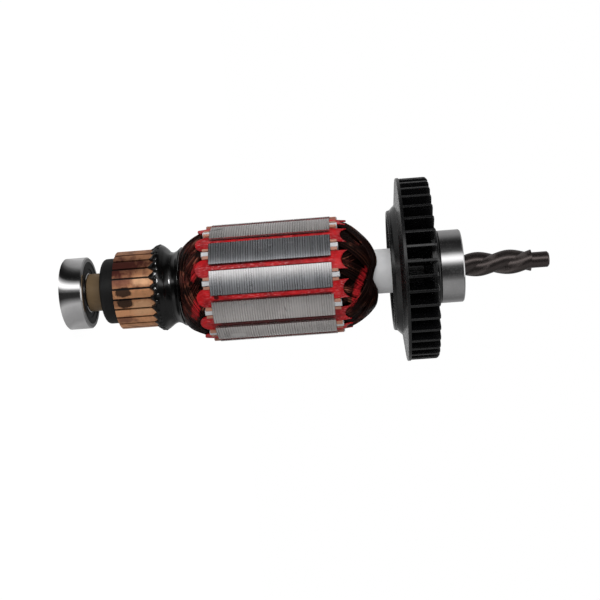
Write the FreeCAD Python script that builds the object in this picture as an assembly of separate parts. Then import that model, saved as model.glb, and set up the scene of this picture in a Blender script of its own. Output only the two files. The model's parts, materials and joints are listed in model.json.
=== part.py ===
"""Wound rotor of a hand drill: shaft with a helical pinion, commutator, core, winding, fan, bearings.

Millimetres, +Z along the shaft from the commutator end to the pinion. The origin is the centre of
the rear bearing's outer face, on which the rotor can stand.
"""

import FreeCAD, Part
import math
import os

V = FreeCAD.Vector
ORIGIN = V(0, 0, 0)
AXIS = V(0, 0, 1)

# Fits and small gaps
FIT = 0.02            # pressed or glued seat, radial
RUNNING = 0.08        # balls in their tracks, seal lips on the inner ring
SEAT = 0.05           # end gap between parts that are stacked along the shaft
SLOT_FIT = 0.05       # insulation in a core slot

# Ball bearings, the common 8 x 22 x 7 size, at both ends
BRG_BORE_R = 4.0
BRG_OUTER_R = 11.0
BRG_WIDTH = 7.0
BRG_CHAMFER = 0.35
BRG_INNER_WALL = 2.05
BRG_OUTER_WALL = 1.6
BALL_R = 1.984
BALL_COUNT = 7
TRACK_R = 2.12
CAGE_WALL = 1.2
CAGE_FLOOR_Z = 2.55
CAGE_TIP_Z = 0.55
CAGE_POCKET_GAP = 0.16
SEAL_THICK = 0.55
SEAL_RECESS = 0.3
SEAL_LIP = 1.55
SEAL_GROOVE_DEPTH = 0.45

# Shaft
SHAFT_R = 5.0
SHAFT_END_RECESS = 0.3
SHAFT_END_CHAMFER = 0.5
PINION_LENGTH = 20.7
PINION_TEETH = 2
PINION_LEAD = 19.2
PINION_OUTER_R = 3.7
PINION_ROOT_R = 2.6
PINION_TURN_DEG = 88.0
TIP_R = 2.38
TIP_LENGTH = 5.4
TIP_CHAMFER = 0.45

# Rear spacer and commutator
SPACER_R = 5.8
SPACER_LENGTH = 4.95
MOULD_RIM_R = 10.0
MOULD_RIM_LENGTH = 4.7
MOULD_RIM_ROUND = 1.2
BAR_COUNT = 24
BAR_R = 11.9
BAR_LENGTH = 11.3
BAR_DEPTH = 2.5
BAR_GAP = 0.55
BAR_FOOT_DEPTH = 1.1
BAR_FOOT_WAIST = 0.55
BAR_FOOT_OVERLAP = 0.3
BAR_TURN_DEG = 6.0
TAB_LENGTH = 2.3
TAB_WIDTH = 1.7
TAB_THICK = 0.9
HOOK_RISE = 0.5
HOOK_BACK = 1.1
MOULD_UNDERCUT = 0.6
MOULD_TAIL_DROP = 1.1

# Leads and the resin over them
RESIN_START = 0.5
RESIN_RING_R = 13.15
RESIN_NECK_R = 11.1
RESIN_SKIN = 0.42
RESIN_POINT_LENGTH = 1.3
RESIN_POINT_WIDTH = 1.5
NECK_FROM_HOOKS = 3.6
RESIN_RING_HALF = 0.6
RESIN_NECK_HALF = 0.65
LEAD_R = 0.42
LEAD_END_GAP = 0.3
LEAD_SWEEP_DEG = 26.0

# Core
SLOT_COUNT = 12
CORE_R = 17.8
CORE_START = 46.6
CORE_LENGTH = 35.7
CORE_TURN_DEG = 14.6
TOOTH_WIDTH = 2.9
TOOTH_TIP = 0.8
SLOT_OPENING = 2.15
SLOT_FLOOR_R = 8.9
TUBE_WALL = 0.7

# Insulation round the coils
END_PLATE = 2.2
END_ARM_WIDTH = 1.5
END_ARM_REACH = 0.35
END_HUB_R = 8.4
WEDGE_THICK = 0.35
WEDGE_WIDTH = 5.5
WEDGE_NOTCH = 1.9
WEDGE_REACH = 5.0
WEDGE_REAR_OUT = 4.3
WEDGE_FRONT_OUT = 4.8
LINER_THICK = 0.3
LINER_OUT = 1.9
CUFF_TOP_R = 17.2
CUFF_GAP = 0.12

# Winding heads, from the end plates outwards
REAR_HEAD_LENGTH = 8.1
REAR_HEAD_R = 15.9
REAR_HEAD_MID_R = 14.7
REAR_HEAD_END_R = 12.0
REAR_HEAD_BORE_R = 7.4
FRONT_HEAD_LENGTH = 11.1
FRONT_HEAD_R = 16.4
FRONT_HEAD_BRIM = 2.2
FRONT_HEAD_MID_R = 14.0
FRONT_HEAD_END_R = 9.4
FRONT_HEAD_NOSE = 2.6
FRONT_HEAD_BORE_R = 7.0

# Front sleeve and fan
SLEEVE_R = 6.75
FAN_RIM_R = 27.7
FAN_RING_START = 99.4
FAN_RING_R = 18.15
FAN_RING_WALL = 1.3
FAN_RING_LENGTH = 2.6
FAN_FLARE = 1.7
FAN_PLATE = 0.9
FAN_PLATE_RISE = 0.8
FAN_BLADE_COUNT = 40
FAN_BLADE_THICK = 0.78
FAN_BLADE_LENGTH = 8.5
FAN_BLADE_ROOT_R = 14.2
FAN_BLADE_TIP_GAP = 0.25
FAN_BLADE_CORNER = 1.0
FAN_BACK_R = 21.5
FAN_BACK = 1.1
FAN_BACK_RISE = 2.0
FAN_HUB_R = 8.6
FAN_HUB_START = 1.9
FAN_COLLAR_R = 12.2
FAN_COLLAR_LENGTH = 1.75
FAN_COLLAR_ROUND = 0.8
FAN_TURN_DEG = 4.5

# Sizes and stations along the shaft that follow from the ones above
BRG_INNER_SHOULDER_R = BRG_BORE_R + BRG_INNER_WALL
BRG_OUTER_SHOULDER_R = BRG_OUTER_R - BRG_OUTER_WALL
BALL_CIRCLE_R = (BRG_BORE_R + BRG_OUTER_R) / 2.0
SEAL_STEP_R = BRG_INNER_SHOULDER_R + SEAL_LIP
SPACER_START = BRG_WIDTH
MOULD_START = SPACER_START + SPACER_LENGTH
BAR_START = MOULD_START + MOULD_RIM_LENGTH
TAB_START = BAR_START + BAR_LENGTH
TAB_END = TAB_START + TAB_LENGTH
CORE_END = CORE_START + CORE_LENGTH
REAR_HEAD_END = CORE_START - END_PLATE - SEAT
REAR_HEAD_START = REAR_HEAD_END - REAR_HEAD_LENGTH
FRONT_HEAD_START = CORE_END + END_PLATE + SEAT
FRONT_HEAD_END = FRONT_HEAD_START + FRONT_HEAD_LENGTH
FAN_PLATE_START = FAN_RING_START + FAN_RING_LENGTH + FAN_PLATE_RISE
FAN_BLADE_END = FAN_PLATE_START + FAN_PLATE + FAN_BLADE_LENGTH
FRONT_BRG_START = FAN_BLADE_END + FAN_COLLAR_LENGTH + SEAT
PINION_START = FRONT_BRG_START + BRG_WIDTH + SEAT
PINION_END = PINION_START + PINION_LENGTH
TIP_END = PINION_END + TIP_LENGTH
BORE_R = SHAFT_R + FIT
TUBE_R = SHAFT_R + TUBE_WALL
SLOT_TOP = CORE_R - TOOTH_TIP
WEDGE_TOP_R = SLOT_TOP - SLOT_FIT
COIL_TOP = math.sqrt((WEDGE_TOP_R - WEDGE_THICK) ** 2 - (WEDGE_WIDTH / 2.0) ** 2) - SLOT_FIT
SLOT_STEP_DEG = 360.0 / SLOT_COUNT
BAR_STEP_DEG = 360.0 / BAR_COUNT


def rounded_wire(corners, place):
    """Closed wire through corners (a, b, fillet radius); place turns (a, b) into a point in space."""
    flat = [(V(a, b, 0), r) for a, b, r in corners]
    starts, ends, mids = [], [], []
    for i, (p, radius) in enumerate(flat):
        before, after = flat[i - 1][0], flat[(i + 1) % len(flat)][0]
        u, w = (before - p).normalize(), (after - p).normalize()
        half = u.getAngle(w) / 2.0
        if radius <= 0:
            starts.append(p)
            ends.append(p)
            mids.append(None)
            continue
        back = radius / math.tan(half)
        bisector = (u + w).normalize()
        centre = p + bisector * (radius / math.sin(half))
        starts.append(p + u * back)
        ends.append(p + w * back)
        mids.append(centre - bisector * radius)
    edges = []
    for i, middle in enumerate(mids):
        if middle is not None:
            arc = Part.Arc(place(starts[i]), place(middle), place(ends[i]))
            edges.append(arc.toShape())
        following = starts[(i + 1) % len(starts)]
        if (following - ends[i]).Length > 1e-6:
            edges.append(Part.LineSegment(place(ends[i]), place(following)).toShape())
    return Part.Wire(edges)


def in_section(p):
    """Point (r, z) of a turned profile."""
    return V(p.x, 0, p.y)


def in_plan(p):
    """Point (x, y) of a section square to the shaft."""
    return V(p.x, p.y, 0)


def turned(corners):
    """Solid of revolution about the shaft from corners (r, z, fillet)."""
    return Part.Face(rounded_wire(corners, in_section)).revolve(ORIGIN, AXIS, 360)


def extruded(corners, z_start, z_end):
    """Prism along the shaft from corners (x, y, fillet)."""
    face = Part.Face(rounded_wire(corners, in_plan))
    face.translate(V(0, 0, z_start))
    return face.extrude(V(0, 0, z_end - z_start))


def tube(r_in, r_out, z_start, z_end, chamfer=0.0):
    """Plain ring, with its outer edges broken by the chamfer."""
    c = chamfer
    corners = [(r_in, z_start, 0), (r_out - c, z_start, 0), (r_out, z_start + c, 0)]
    corners += [(r_out, z_end - c, 0), (r_out - c, z_end, 0), (r_in, z_end, 0)]
    if c == 0:
        corners = [corners[0], corners[2], corners[3], corners[5]]
    return turned(corners)


def slab(corners, thick):
    """Plate of the given thickness, standing in the XZ plane, from corners (r, z, fillet)."""
    face = Part.Face(rounded_wire(corners, in_section))
    face.translate(V(0, -thick / 2.0, 0))
    return face.extrude(V(0, thick, 0))


def spun(shape, degrees):
    """Copy of a shape turned about the shaft."""
    copy = shape.copy()
    copy.rotate(ORIGIN, AXIS, degrees)
    return copy


def ring_of(shape, count, first_deg=0.0):
    """Copies of a shape, evenly spaced about the shaft."""
    return [spun(shape, first_deg + 360.0 * i / count) for i in range(count)]


def lifted(shape, z):
    """Copy of a shape moved along the shaft."""
    copy = shape.copy()
    copy.translate(V(0, 0, z))
    return copy


def ball_track(z_middle, bottom_r, centre_side):
    """Torus that cuts a ball groove whose deepest point is at bottom_r."""
    return Part.makeTorus(bottom_r + centre_side * TRACK_R, TRACK_R, V(0, 0, z_middle), AXIS)


def bearing(z_start, seal_names):
    """The six parts of one sealed ball bearing, from its rear face at z_start, rear seal named first."""
    z_end = z_start + BRG_WIDTH
    middle = z_start + BRG_WIDTH / 2.0
    bore = BRG_BORE_R + FIT
    inner_bottom = BALL_CIRCLE_R - BALL_R - RUNNING
    outer_bottom = BALL_CIRCLE_R + BALL_R + RUNNING
    inner = tube(bore, BRG_INNER_SHOULDER_R, z_start, z_end, BRG_CHAMFER / 2)
    inner = inner.cut(ball_track(middle, inner_bottom, 1))
    seal_in = BRG_INNER_SHOULDER_R + RUNNING
    seal_out = BRG_OUTER_SHOULDER_R + SEAL_GROOVE_DEPTH
    seals, outer = [], tube(BRG_OUTER_SHOULDER_R, BRG_OUTER_R, z_start, z_end, BRG_CHAMFER)
    outer = outer.cut(ball_track(middle, outer_bottom, -1))
    for face_z, inward in ((z_start, 1), (z_end, -1)):
        a = face_z + inward * SEAL_RECESS
        b = a + inward * SEAL_THICK
        step = a + inward * SEAL_THICK / 3.0
        lip_r = BRG_OUTER_SHOULDER_R + SEAL_GROOVE_DEPTH / 2.0
        outer = outer.cut(tube(BALL_CIRCLE_R, seal_out + FIT, min(a, b), max(a, b)))
        outer = outer.cut(tube(BALL_CIRCLE_R, lip_r, min(face_z, a), max(face_z, a)))
        seals.append(turned([
            (seal_in, step, 0), (SEAL_STEP_R, step, 0), (SEAL_STEP_R, a, 0), (seal_out, a, 0),
            (seal_out, b, 0), (seal_in, b, 0),
        ]))
    ball = Part.makeSphere(BALL_R, V(BALL_CIRCLE_R, 0, middle))
    balls = Part.makeCompound(ring_of(ball, BALL_COUNT))
    pocket = Part.makeSphere(BALL_R + CAGE_POCKET_GAP, V(BALL_CIRCLE_R, 0, middle))
    cage = tube(BALL_CIRCLE_R - CAGE_WALL / 2, BALL_CIRCLE_R + CAGE_WALL / 2,
                middle - CAGE_FLOOR_Z, middle + CAGE_TIP_Z)
    cage = cage.cut(Part.makeCompound(ring_of(pocket, BALL_COUNT)))
    return {"outer_ring": outer, "inner_ring": inner, "balls": balls, "cage": cage,
            seal_names[0]: seals[0], seal_names[1]: seals[1]}


def pinion():
    """Left-hand helical teeth: a section of rounded lobes swept along the shaft while it turns."""
    pitch_deg = 360.0 / PINION_TEETH

    def at(radius, degrees):
        return V(radius * math.cos(math.radians(degrees)), radius * math.sin(math.radians(degrees)), 0)

    lobes = []
    for tooth in range(PINION_TEETH):
        crest = tooth * pitch_deg
        lobes.append(Part.Arc(at(PINION_ROOT_R, crest - pitch_deg / 2), at(PINION_OUTER_R, crest),
                              at(PINION_ROOT_R, crest + pitch_deg / 2)).toShape())
    spine = Part.Wire(Part.LineSegment(ORIGIN, V(0, 0, PINION_LENGTH)).toShape())
    guide = Part.makeHelix(PINION_LEAD, PINION_LENGTH, 2 * PINION_OUTER_R, 0, True)
    sweep = Part.BRepOffsetAPI.MakePipeShell(spine)
    sweep.setAuxiliarySpine(Part.Wire(guide.Edges), True, 0)
    sweep.add(Part.Wire(lobes))
    sweep.build()
    sweep.makeSolid()
    return lifted(spun(sweep.shape(), PINION_TURN_DEG), PINION_START)


def shaft():
    """Stepped steel shaft with the pinion and the pilot tip cut on its front end."""
    journal = BRG_BORE_R
    body = turned([
        (0, SHAFT_END_RECESS, 0), (journal - SHAFT_END_CHAMFER, SHAFT_END_RECESS, 0),
        (journal, SHAFT_END_RECESS + SHAFT_END_CHAMFER, 0), (journal, BRG_WIDTH, 0),
        (SHAFT_R, BRG_WIDTH, 0), (SHAFT_R, FRONT_BRG_START, 0), (journal, FRONT_BRG_START, 0),
        (journal, PINION_START, 0), (0, PINION_START, 0),
    ])
    tip = turned([
        (0, PINION_END, 0), (TIP_R, PINION_END, 0), (TIP_R, TIP_END - TIP_CHAMFER, 0),
        (TIP_R - TIP_CHAMFER, TIP_END, 0), (0, TIP_END, 0),
    ])
    return body.multiFuse([pinion(), tip])


def bar():
    """One copper commutator bar: brush face, dovetail foot, and the hooked tab for the lead."""
    half = math.radians(BAR_STEP_DEG / 2.0)
    inner_r = BAR_R - BAR_DEPTH

    def half_width(radius):
        return radius * math.sin(half) - BAR_GAP / 2.0

    outer_x = math.sqrt(BAR_R ** 2 - half_width(BAR_R) ** 2)
    wedge = Part.Face(Part.Wire([
        Part.Arc(V(outer_x, -half_width(BAR_R), 0), V(BAR_R, 0, 0), V(outer_x, half_width(BAR_R), 0)).toShape(),
        Part.LineSegment(V(outer_x, half_width(BAR_R), 0), V(inner_r, half_width(inner_r), 0)).toShape(),
        Part.LineSegment(V(inner_r, half_width(inner_r), 0), V(inner_r, -half_width(inner_r), 0)).toShape(),
        Part.LineSegment(V(inner_r, -half_width(inner_r), 0), V(outer_x, -half_width(BAR_R), 0)).toShape(),
    ]))
    wedge.translate(V(0, 0, BAR_START))
    body = wedge.extrude(V(0, 0, BAR_LENGTH))
    waist = BAR_FOOT_WAIST / 2.0
    foot_r = inner_r - BAR_FOOT_DEPTH
    toe = half_width(foot_r) * 0.8
    margin = BAR_LENGTH / 8.0
    joined_r = inner_r + BAR_FOOT_OVERLAP
    foot = extruded([(joined_r, -waist, 0), (joined_r, waist, 0), (foot_r, toe, 0), (foot_r, -toe, 0)],
                    BAR_START + margin, TAB_START - margin)
    top = BAR_R + HOOK_RISE
    hook = slab([
        (BAR_R - TAB_THICK, TAB_START - BAR_LENGTH / 8, 0), (BAR_R - TAB_THICK, TAB_END, 0.4),
        (top, TAB_END, 0.45), (top, TAB_END - HOOK_BACK, 0), (BAR_R + 0.05, TAB_END - HOOK_BACK, 0),
        (BAR_R - 0.05, TAB_START - BAR_LENGTH / 8, 0),
    ], TAB_WIDTH)
    return body.multiFuse([foot, hook])


def commutator():
    """Copper bars and the moulding that holds them."""
    one = bar()
    bars = ring_of(one, BAR_COUNT)
    tail_r = BAR_R - TAB_THICK - FIT
    under_r = BAR_R - MOULD_UNDERCUT
    blank = turned([
        (BORE_R, MOULD_START + SEAT, 0), (MOULD_RIM_R, MOULD_START + SEAT, MOULD_RIM_ROUND),
        (MOULD_RIM_R, BAR_START - SEAT, 0), (under_r, BAR_START - SEAT, 0), (under_r, TAB_START, 0),
        (tail_r, TAB_START, 0), (tail_r, TAB_END - MOULD_TAIL_DROP, 0),
        (REAR_HEAD_BORE_R, TAB_END, 0), (BORE_R, TAB_END, 0),
    ])
    moulding = blank.cut(Part.makeCompound(bars))
    return Part.makeCompound(bars), moulding


def leads():
    """Straight runs of the coil leads from the hooks to the rear winding head."""
    z_a = TAB_END + 2 * SEAT
    z_b = REAR_HEAD_START - LEAD_END_GAP
    r_a = BAR_R - TAB_THICK - LEAD_R / 2
    r_b = RESIN_NECK_R - RESIN_SKIN - 1.6 * LEAD_R
    turn = math.radians(LEAD_SWEEP_DEG)
    start = V(r_a, 0, z_a)
    end = V(r_b * math.cos(turn), r_b * math.sin(turn), z_b)
    rod = Part.makeCylinder(LEAD_R, (end - start).Length, start, end - start)
    return Part.makeCompound(ring_of(rod, BAR_COUNT))


def resin():
    """Varnish skin over the hooks and the neck, with points that run in between the tabs."""
    z_a = TAB_START + RESIN_START
    ring_a, ring_b = TAB_END - 0.4 - RESIN_RING_HALF, TAB_END - 0.4 + RESIN_RING_HALF
    neck_z = TAB_END + NECK_FROM_HOOKS
    neck_a, neck_b = neck_z - RESIN_NECK_HALF, neck_z + RESIN_NECK_HALF
    z_b = REAR_HEAD_START - SEAT / 2
    hook_r = BAR_R + HOOK_RISE + SEAT
    skin = RESIN_SKIN
    body = turned([
        (BAR_R + SEAT, z_a, 0), (RESIN_RING_R - 0.3, z_a, 0.25), (RESIN_RING_R, ring_a, 0.4),
        (RESIN_RING_R, ring_b, 0.6), (RESIN_NECK_R, neck_a, 0.8), (RESIN_NECK_R, neck_b, 0.6),
        (REAR_HEAD_END_R, z_b, 0), (REAR_HEAD_END_R - 2 * skin, z_b, 0),
        (RESIN_NECK_R - skin, neck_b, 0), (RESIN_NECK_R - skin, neck_a, 0),
        (hook_r, TAB_END + HOOK_RISE / 2, 0), (hook_r, TAB_END - HOOK_BACK - SEAT, 0),
        (BAR_R + SEAT, z_a + 0.2, 0),
    ])
    half = RESIN_POINT_WIDTH / 2.0
    base_r = BAR_R + SEAT
    face = Part.Face(Part.makePolygon([
        V(base_r, -half, z_a + 0.1), V(base_r, half, z_a + 0.1), V(base_r, 0, z_a - RESIN_POINT_LENGTH),
        V(base_r, -half, z_a + 0.1),
    ]))
    point = face.extrude(V(RESIN_RING_R - 0.3 - base_r, 0, 0))
    return body.multiFuse(ring_of(point, BAR_COUNT, BAR_STEP_DEG / 2.0))


def slot_half_width(x, inset):
    """Half width of a slot at distance x from the shaft's axis, less the inset on each side."""
    half = math.radians(SLOT_STEP_DEG / 2.0)
    return x * math.tan(half) - (TOOTH_WIDTH / 2.0) / math.cos(half) - inset


def slot_prism(top_x, inset, z_start, z_end):
    """Slot-shaped prism on the +X side, from the slot floor up to top_x."""
    floor = SLOT_FLOOR_R + inset
    low, high = slot_half_width(floor + 0.5, inset), slot_half_width(top_x, inset)
    corners = [(floor, -low, low * 0.7), (top_x, -high, 0.45), (top_x, high, 0.45), (floor, low, low * 0.7)]
    return extruded(corners, z_start, z_end)


def core():
    """Slotted core: teeth with wide tips and half-closed slots."""
    blank = tube(TUBE_R + FIT, CORE_R, CORE_START, CORE_END)
    slot = slot_prism(SLOT_TOP, 0, CORE_START - 1, CORE_END + 1)
    mouth = Part.makeBox(TOOTH_TIP + 2, SLOT_OPENING, CORE_LENGTH + 2,
                         V(SLOT_TOP - 0.5, -SLOT_OPENING / 2, CORE_START - 1))
    cutter = slot.fuse(mouth)
    return blank.cut(Part.makeCompound(ring_of(cutter, SLOT_COUNT)))


def end_plate(z_start, z_end):
    """White star-shaped plate that insulates one end of the core."""
    arm_end = CORE_R - END_ARM_REACH
    hub = tube(TUBE_R + FIT, END_HUB_R, z_start, z_end)
    half = END_ARM_WIDTH / 2.0
    arm = extruded([(TUBE_R + 1, -half, 0), (arm_end, -half, 0.3), (arm_end, half, 0.3), (TUBE_R + 1, half, 0)],
                   z_start, z_end)
    return hub.multiFuse(ring_of(arm, SLOT_COUNT, SLOT_STEP_DEG / 2.0))


def wedges():
    """Red strips that close the slots: a round tongue past the rear of the core, a hollow edge past the front."""
    half = WEDGE_WIDTH / 2.0
    z_a, z_b = CORE_START - WEDGE_REAR_OUT, CORE_END + WEDGE_FRONT_OUT

    def across(y, z):
        return V(SLOT_TOP - WEDGE_REACH / 2.0, y, z)

    outline = Part.Wire([
        Part.Arc(across(half, z_a + half), across(0, z_a), across(-half, z_a + half)).toShape(),
        Part.LineSegment(across(-half, z_a + half), across(-half, z_b)).toShape(),
        Part.Arc(across(-half, z_b), across(0, z_b - WEDGE_NOTCH), across(half, z_b)).toShape(),
        Part.LineSegment(across(half, z_b), across(half, z_a + half)).toShape(),
    ])
    prism = Part.Face(outline).extrude(V(WEDGE_REACH, 0, 0))
    shell = tube(WEDGE_TOP_R - WEDGE_THICK, WEDGE_TOP_R, z_a - 1, z_b + 1)
    return Part.makeCompound(ring_of(shell.common(prism), SLOT_COUNT))


def cuff(z_start, z_end):
    """End of one slot liner, folded out beside the arms of the end plate and open under the red strip."""
    floor = SLOT_FLOOR_R + SLOT_FIT
    spread = (TOOTH_WIDTH - END_ARM_WIDTH) / 2.0 - CUFF_GAP
    low, high = slot_half_width(floor, -spread), slot_half_width(CUFF_TOP_R, -spread)
    corners = [(floor, -low, 0), (CUFF_TOP_R, -high, 0), (CUFF_TOP_R, high, 0), (floor, low, 0)]
    block = extruded(corners, z_start, z_end)
    half = WEDGE_WIDTH / 2.0 + SLOT_FIT
    return block.cut(Part.makeBox(WEDGE_REACH, 2 * half, z_end - z_start, V(COIL_TOP, -half, z_start)))


def liners():
    """Slot insulation, folded to the slot, with a thicker cuff that stands out at each end."""
    z_a, z_b = CORE_START - LINER_OUT, CORE_END + LINER_OUT
    outer = slot_prism(COIL_TOP, SLOT_FIT, z_a, z_b)
    outer = outer.multiFuse([cuff(z_a, CORE_START - SEAT), cuff(CORE_END + SEAT, z_b)])
    hollow = slot_prism(COIL_TOP - LINER_THICK, SLOT_FIT + LINER_THICK, z_a - 1, z_b + 1)
    return Part.makeCompound(ring_of(outer.cut(hollow), SLOT_COUNT))


def winding():
    """Enamelled copper: one coil bundle in each slot, joined by the heads at both ends."""
    inset = 2 * SLOT_FIT + LINER_THICK
    side = slot_prism(COIL_TOP - LINER_THICK - SLOT_FIT, inset, REAR_HEAD_END - 0.5, FRONT_HEAD_START + 0.5)
    rear = turned([
        (REAR_HEAD_BORE_R, REAR_HEAD_START, 0), (REAR_HEAD_END_R, REAR_HEAD_START, 0.5),
        (REAR_HEAD_MID_R, REAR_HEAD_START + REAR_HEAD_LENGTH * 0.42, 1.5), (REAR_HEAD_R, REAR_HEAD_END, 0),
        (REAR_HEAD_BORE_R, REAR_HEAD_END, 0),
    ])
    front = turned([
        (FRONT_HEAD_BORE_R, FRONT_HEAD_START, 0), (FRONT_HEAD_R, FRONT_HEAD_START, 0),
        (FRONT_HEAD_R - FRONT_HEAD_BRIM / 4, FRONT_HEAD_START + FRONT_HEAD_BRIM, 1.0),
        (FRONT_HEAD_MID_R, FRONT_HEAD_START + FRONT_HEAD_LENGTH * 0.55, 2.0),
        (FRONT_HEAD_END_R + FRONT_HEAD_NOSE, FRONT_HEAD_END - FRONT_HEAD_NOSE / 2, 1.2), (FRONT_HEAD_END_R, FRONT_HEAD_END, 0.8),
        (FRONT_HEAD_BORE_R, FRONT_HEAD_END, 0),
    ])
    return rear.multiFuse([front] + ring_of(side, SLOT_COUNT))


def front_sleeve():
    """White tube between the front winding head and the fan hub."""
    return tube(BORE_R, SLEEVE_R, CORE_END + END_PLATE + SEAT, FAN_RING_START + FAN_HUB_START - SEAT)


def fan():
    """One-piece moulded fan: inlet ring, front plate, blades, back disc, hub and collar."""
    ring_in = FAN_RING_R - FAN_RING_WALL
    flare_r = FAN_RING_R + FAN_FLARE
    plate_a, plate_b = FAN_PLATE_START, FAN_PLATE_START + FAN_PLATE
    flare_z = FAN_RING_START + FAN_RING_LENGTH
    shroud = turned([
        (ring_in, FAN_RING_START, 0.3), (FAN_RING_R, FAN_RING_START, 0.5), (FAN_RING_R, flare_z - FAN_FLARE, 1.0),
        (flare_r, flare_z, 0.3), (FAN_RIM_R, plate_a, 0.25), (FAN_RIM_R, plate_b, 0),
        (flare_r, plate_b, 0), (ring_in, flare_z - FAN_FLARE / 2, 0),
    ])
    back_b = FAN_BLADE_END
    back_a = back_b - FAN_BACK
    hub_a = FAN_RING_START + FAN_HUB_START
    hub = turned([
        (BORE_R, hub_a, 0), (FAN_HUB_R, hub_a, 0.4), (FAN_HUB_R, back_a - FAN_BACK_RISE, 0),
        (FAN_BACK_R, back_a, 0), (FAN_BACK_R, back_b, 0), (FAN_COLLAR_R, back_b, 0),
        (FAN_COLLAR_R, FRONT_BRG_START - SEAT, FAN_COLLAR_ROUND),
        (BORE_R, FRONT_BRG_START - SEAT, 0),
    ])
    tip_r = FAN_RIM_R - FAN_BLADE_TIP_GAP
    blade = slab([
        (FAN_BLADE_ROOT_R, flare_z, 0), (flare_r, plate_b - 0.3, 0), (tip_r, plate_b - 0.3, 0),
        (tip_r, FAN_BLADE_END, FAN_BLADE_CORNER), (FAN_BLADE_ROOT_R, FAN_BLADE_END, 0),
    ], FAN_BLADE_THICK)
    return shroud.multiFuse([hub] + ring_of(blade, FAN_BLADE_COUNT, FAN_TURN_DEG))


def build():
    """Every node of the rotor, by name."""
    bars, moulding = commutator()
    nodes = {
        "shaft": shaft(),
        "rear_spacer": tube(BORE_R, SPACER_R, SPACER_START + SEAT, MOULD_START, 0.2),
        "commutator_bars": bars,
        "commutator_moulding": moulding,
        "lead_wires": leads(),
        "resin_coating": resin(),
        "core_tube": tube(BORE_R, TUBE_R, CORE_START - END_PLATE, CORE_END + END_PLATE),
        "lamination_stack": core(),
        "rear_end_insulator": end_plate(CORE_START - END_PLATE, CORE_START),
        "front_end_insulator": end_plate(CORE_END, CORE_END + END_PLATE),
        "slot_liners": liners(),
        "slot_wedges": wedges(),
        "winding": winding(),
        "front_sleeve": front_sleeve(),
        "fan": fan(),
    }
    core_nodes = ("lamination_stack", "slot_liners", "slot_wedges", "winding",
                  "rear_end_insulator", "front_end_insulator")
    for name in core_nodes:
        nodes[name] = spun(nodes[name], CORE_TURN_DEG)
    for name in ("commutator_bars", "commutator_moulding", "lead_wires", "resin_coating"):
        nodes[name] = spun(nodes[name], BAR_TURN_DEG)
    outboard, inboard = "outboard_seal", "inboard_seal"
    for name, shape in bearing(0.0, (outboard, inboard)).items():
        nodes[f"rear_bearing_{name}"] = shape
    for name, shape in bearing(FRONT_BRG_START, (inboard, outboard)).items():
        nodes[f"front_bearing_{name}"] = shape
    return nodes


def main():
    """Check each node and write it as a STEP file."""
    os.makedirs("parts", exist_ok=True)
    for name, shape in build().items():
        if not shape.isValid():
            raise ValueError(f"{name} isn't a valid shape")
        shape.exportStep(f"parts/{name}.step")
        print(name, len(shape.Solids), round(shape.Volume, 1))


main()
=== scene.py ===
import json
import logging
import math
from abc import ABC, abstractmethod
from collections.abc import Callable
from dataclasses import dataclass, field
from enum import Enum

import bpy
import numpy as np
from mathutils import Matrix, Vector
from mathutils.geometry import tessellate_polygon

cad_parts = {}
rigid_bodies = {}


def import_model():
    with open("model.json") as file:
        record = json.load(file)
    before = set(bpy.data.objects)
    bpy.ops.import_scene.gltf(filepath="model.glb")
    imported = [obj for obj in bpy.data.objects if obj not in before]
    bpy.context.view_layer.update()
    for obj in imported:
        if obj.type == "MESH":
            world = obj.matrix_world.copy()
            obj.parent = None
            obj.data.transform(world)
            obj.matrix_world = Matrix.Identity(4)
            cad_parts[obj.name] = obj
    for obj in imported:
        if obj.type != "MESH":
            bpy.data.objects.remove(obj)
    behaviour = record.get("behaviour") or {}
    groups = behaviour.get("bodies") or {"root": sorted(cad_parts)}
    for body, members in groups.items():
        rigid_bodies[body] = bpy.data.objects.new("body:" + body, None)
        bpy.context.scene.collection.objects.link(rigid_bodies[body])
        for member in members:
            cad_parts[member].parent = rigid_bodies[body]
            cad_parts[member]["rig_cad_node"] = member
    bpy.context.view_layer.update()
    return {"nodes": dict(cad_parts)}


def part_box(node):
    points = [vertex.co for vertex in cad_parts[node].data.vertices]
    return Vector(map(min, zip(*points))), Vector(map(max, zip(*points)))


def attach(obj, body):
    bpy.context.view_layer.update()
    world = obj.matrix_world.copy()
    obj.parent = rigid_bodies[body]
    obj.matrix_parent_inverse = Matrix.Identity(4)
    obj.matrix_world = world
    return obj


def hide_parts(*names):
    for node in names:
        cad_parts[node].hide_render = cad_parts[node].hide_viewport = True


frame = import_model()
LOG = logging.getLogger("armature")
MM = 0.001
SEED = 20
SLOTS = 12
SLOT_TURN_DEG = 14.6
BARS = 24
BAR_TURN_DEG = 6.0
NOISE_RANGE = (0.3, 0.7)
WHITE = (1.0, 1.0, 1.0, 1.0)

Colour = tuple[float, float, float]
Range = tuple[float, float]
Remap = tuple[float, float, float, float]
Stops = tuple[Range, ...]


def mm_box(node: str) -> tuple[np.ndarray, np.ndarray]:
    """Lowest and highest corner of a CAD node, in millimetres."""
    low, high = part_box(node)
    return np.array(low) / MM, np.array(high) / MM


def ends(node: str) -> Range:
    """Heights of a CAD node's lower and upper end, in metres."""
    low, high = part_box(node)
    return low[2], high[2]


def smooth_step(x: np.ndarray) -> np.ndarray:
    """The cubic 3x^2 - 2x^3, with x held between 0 and 1."""
    x = np.clip(x, 0.0, 1.0)
    return x * x * (3.0 - 2.0 * x)


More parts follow.
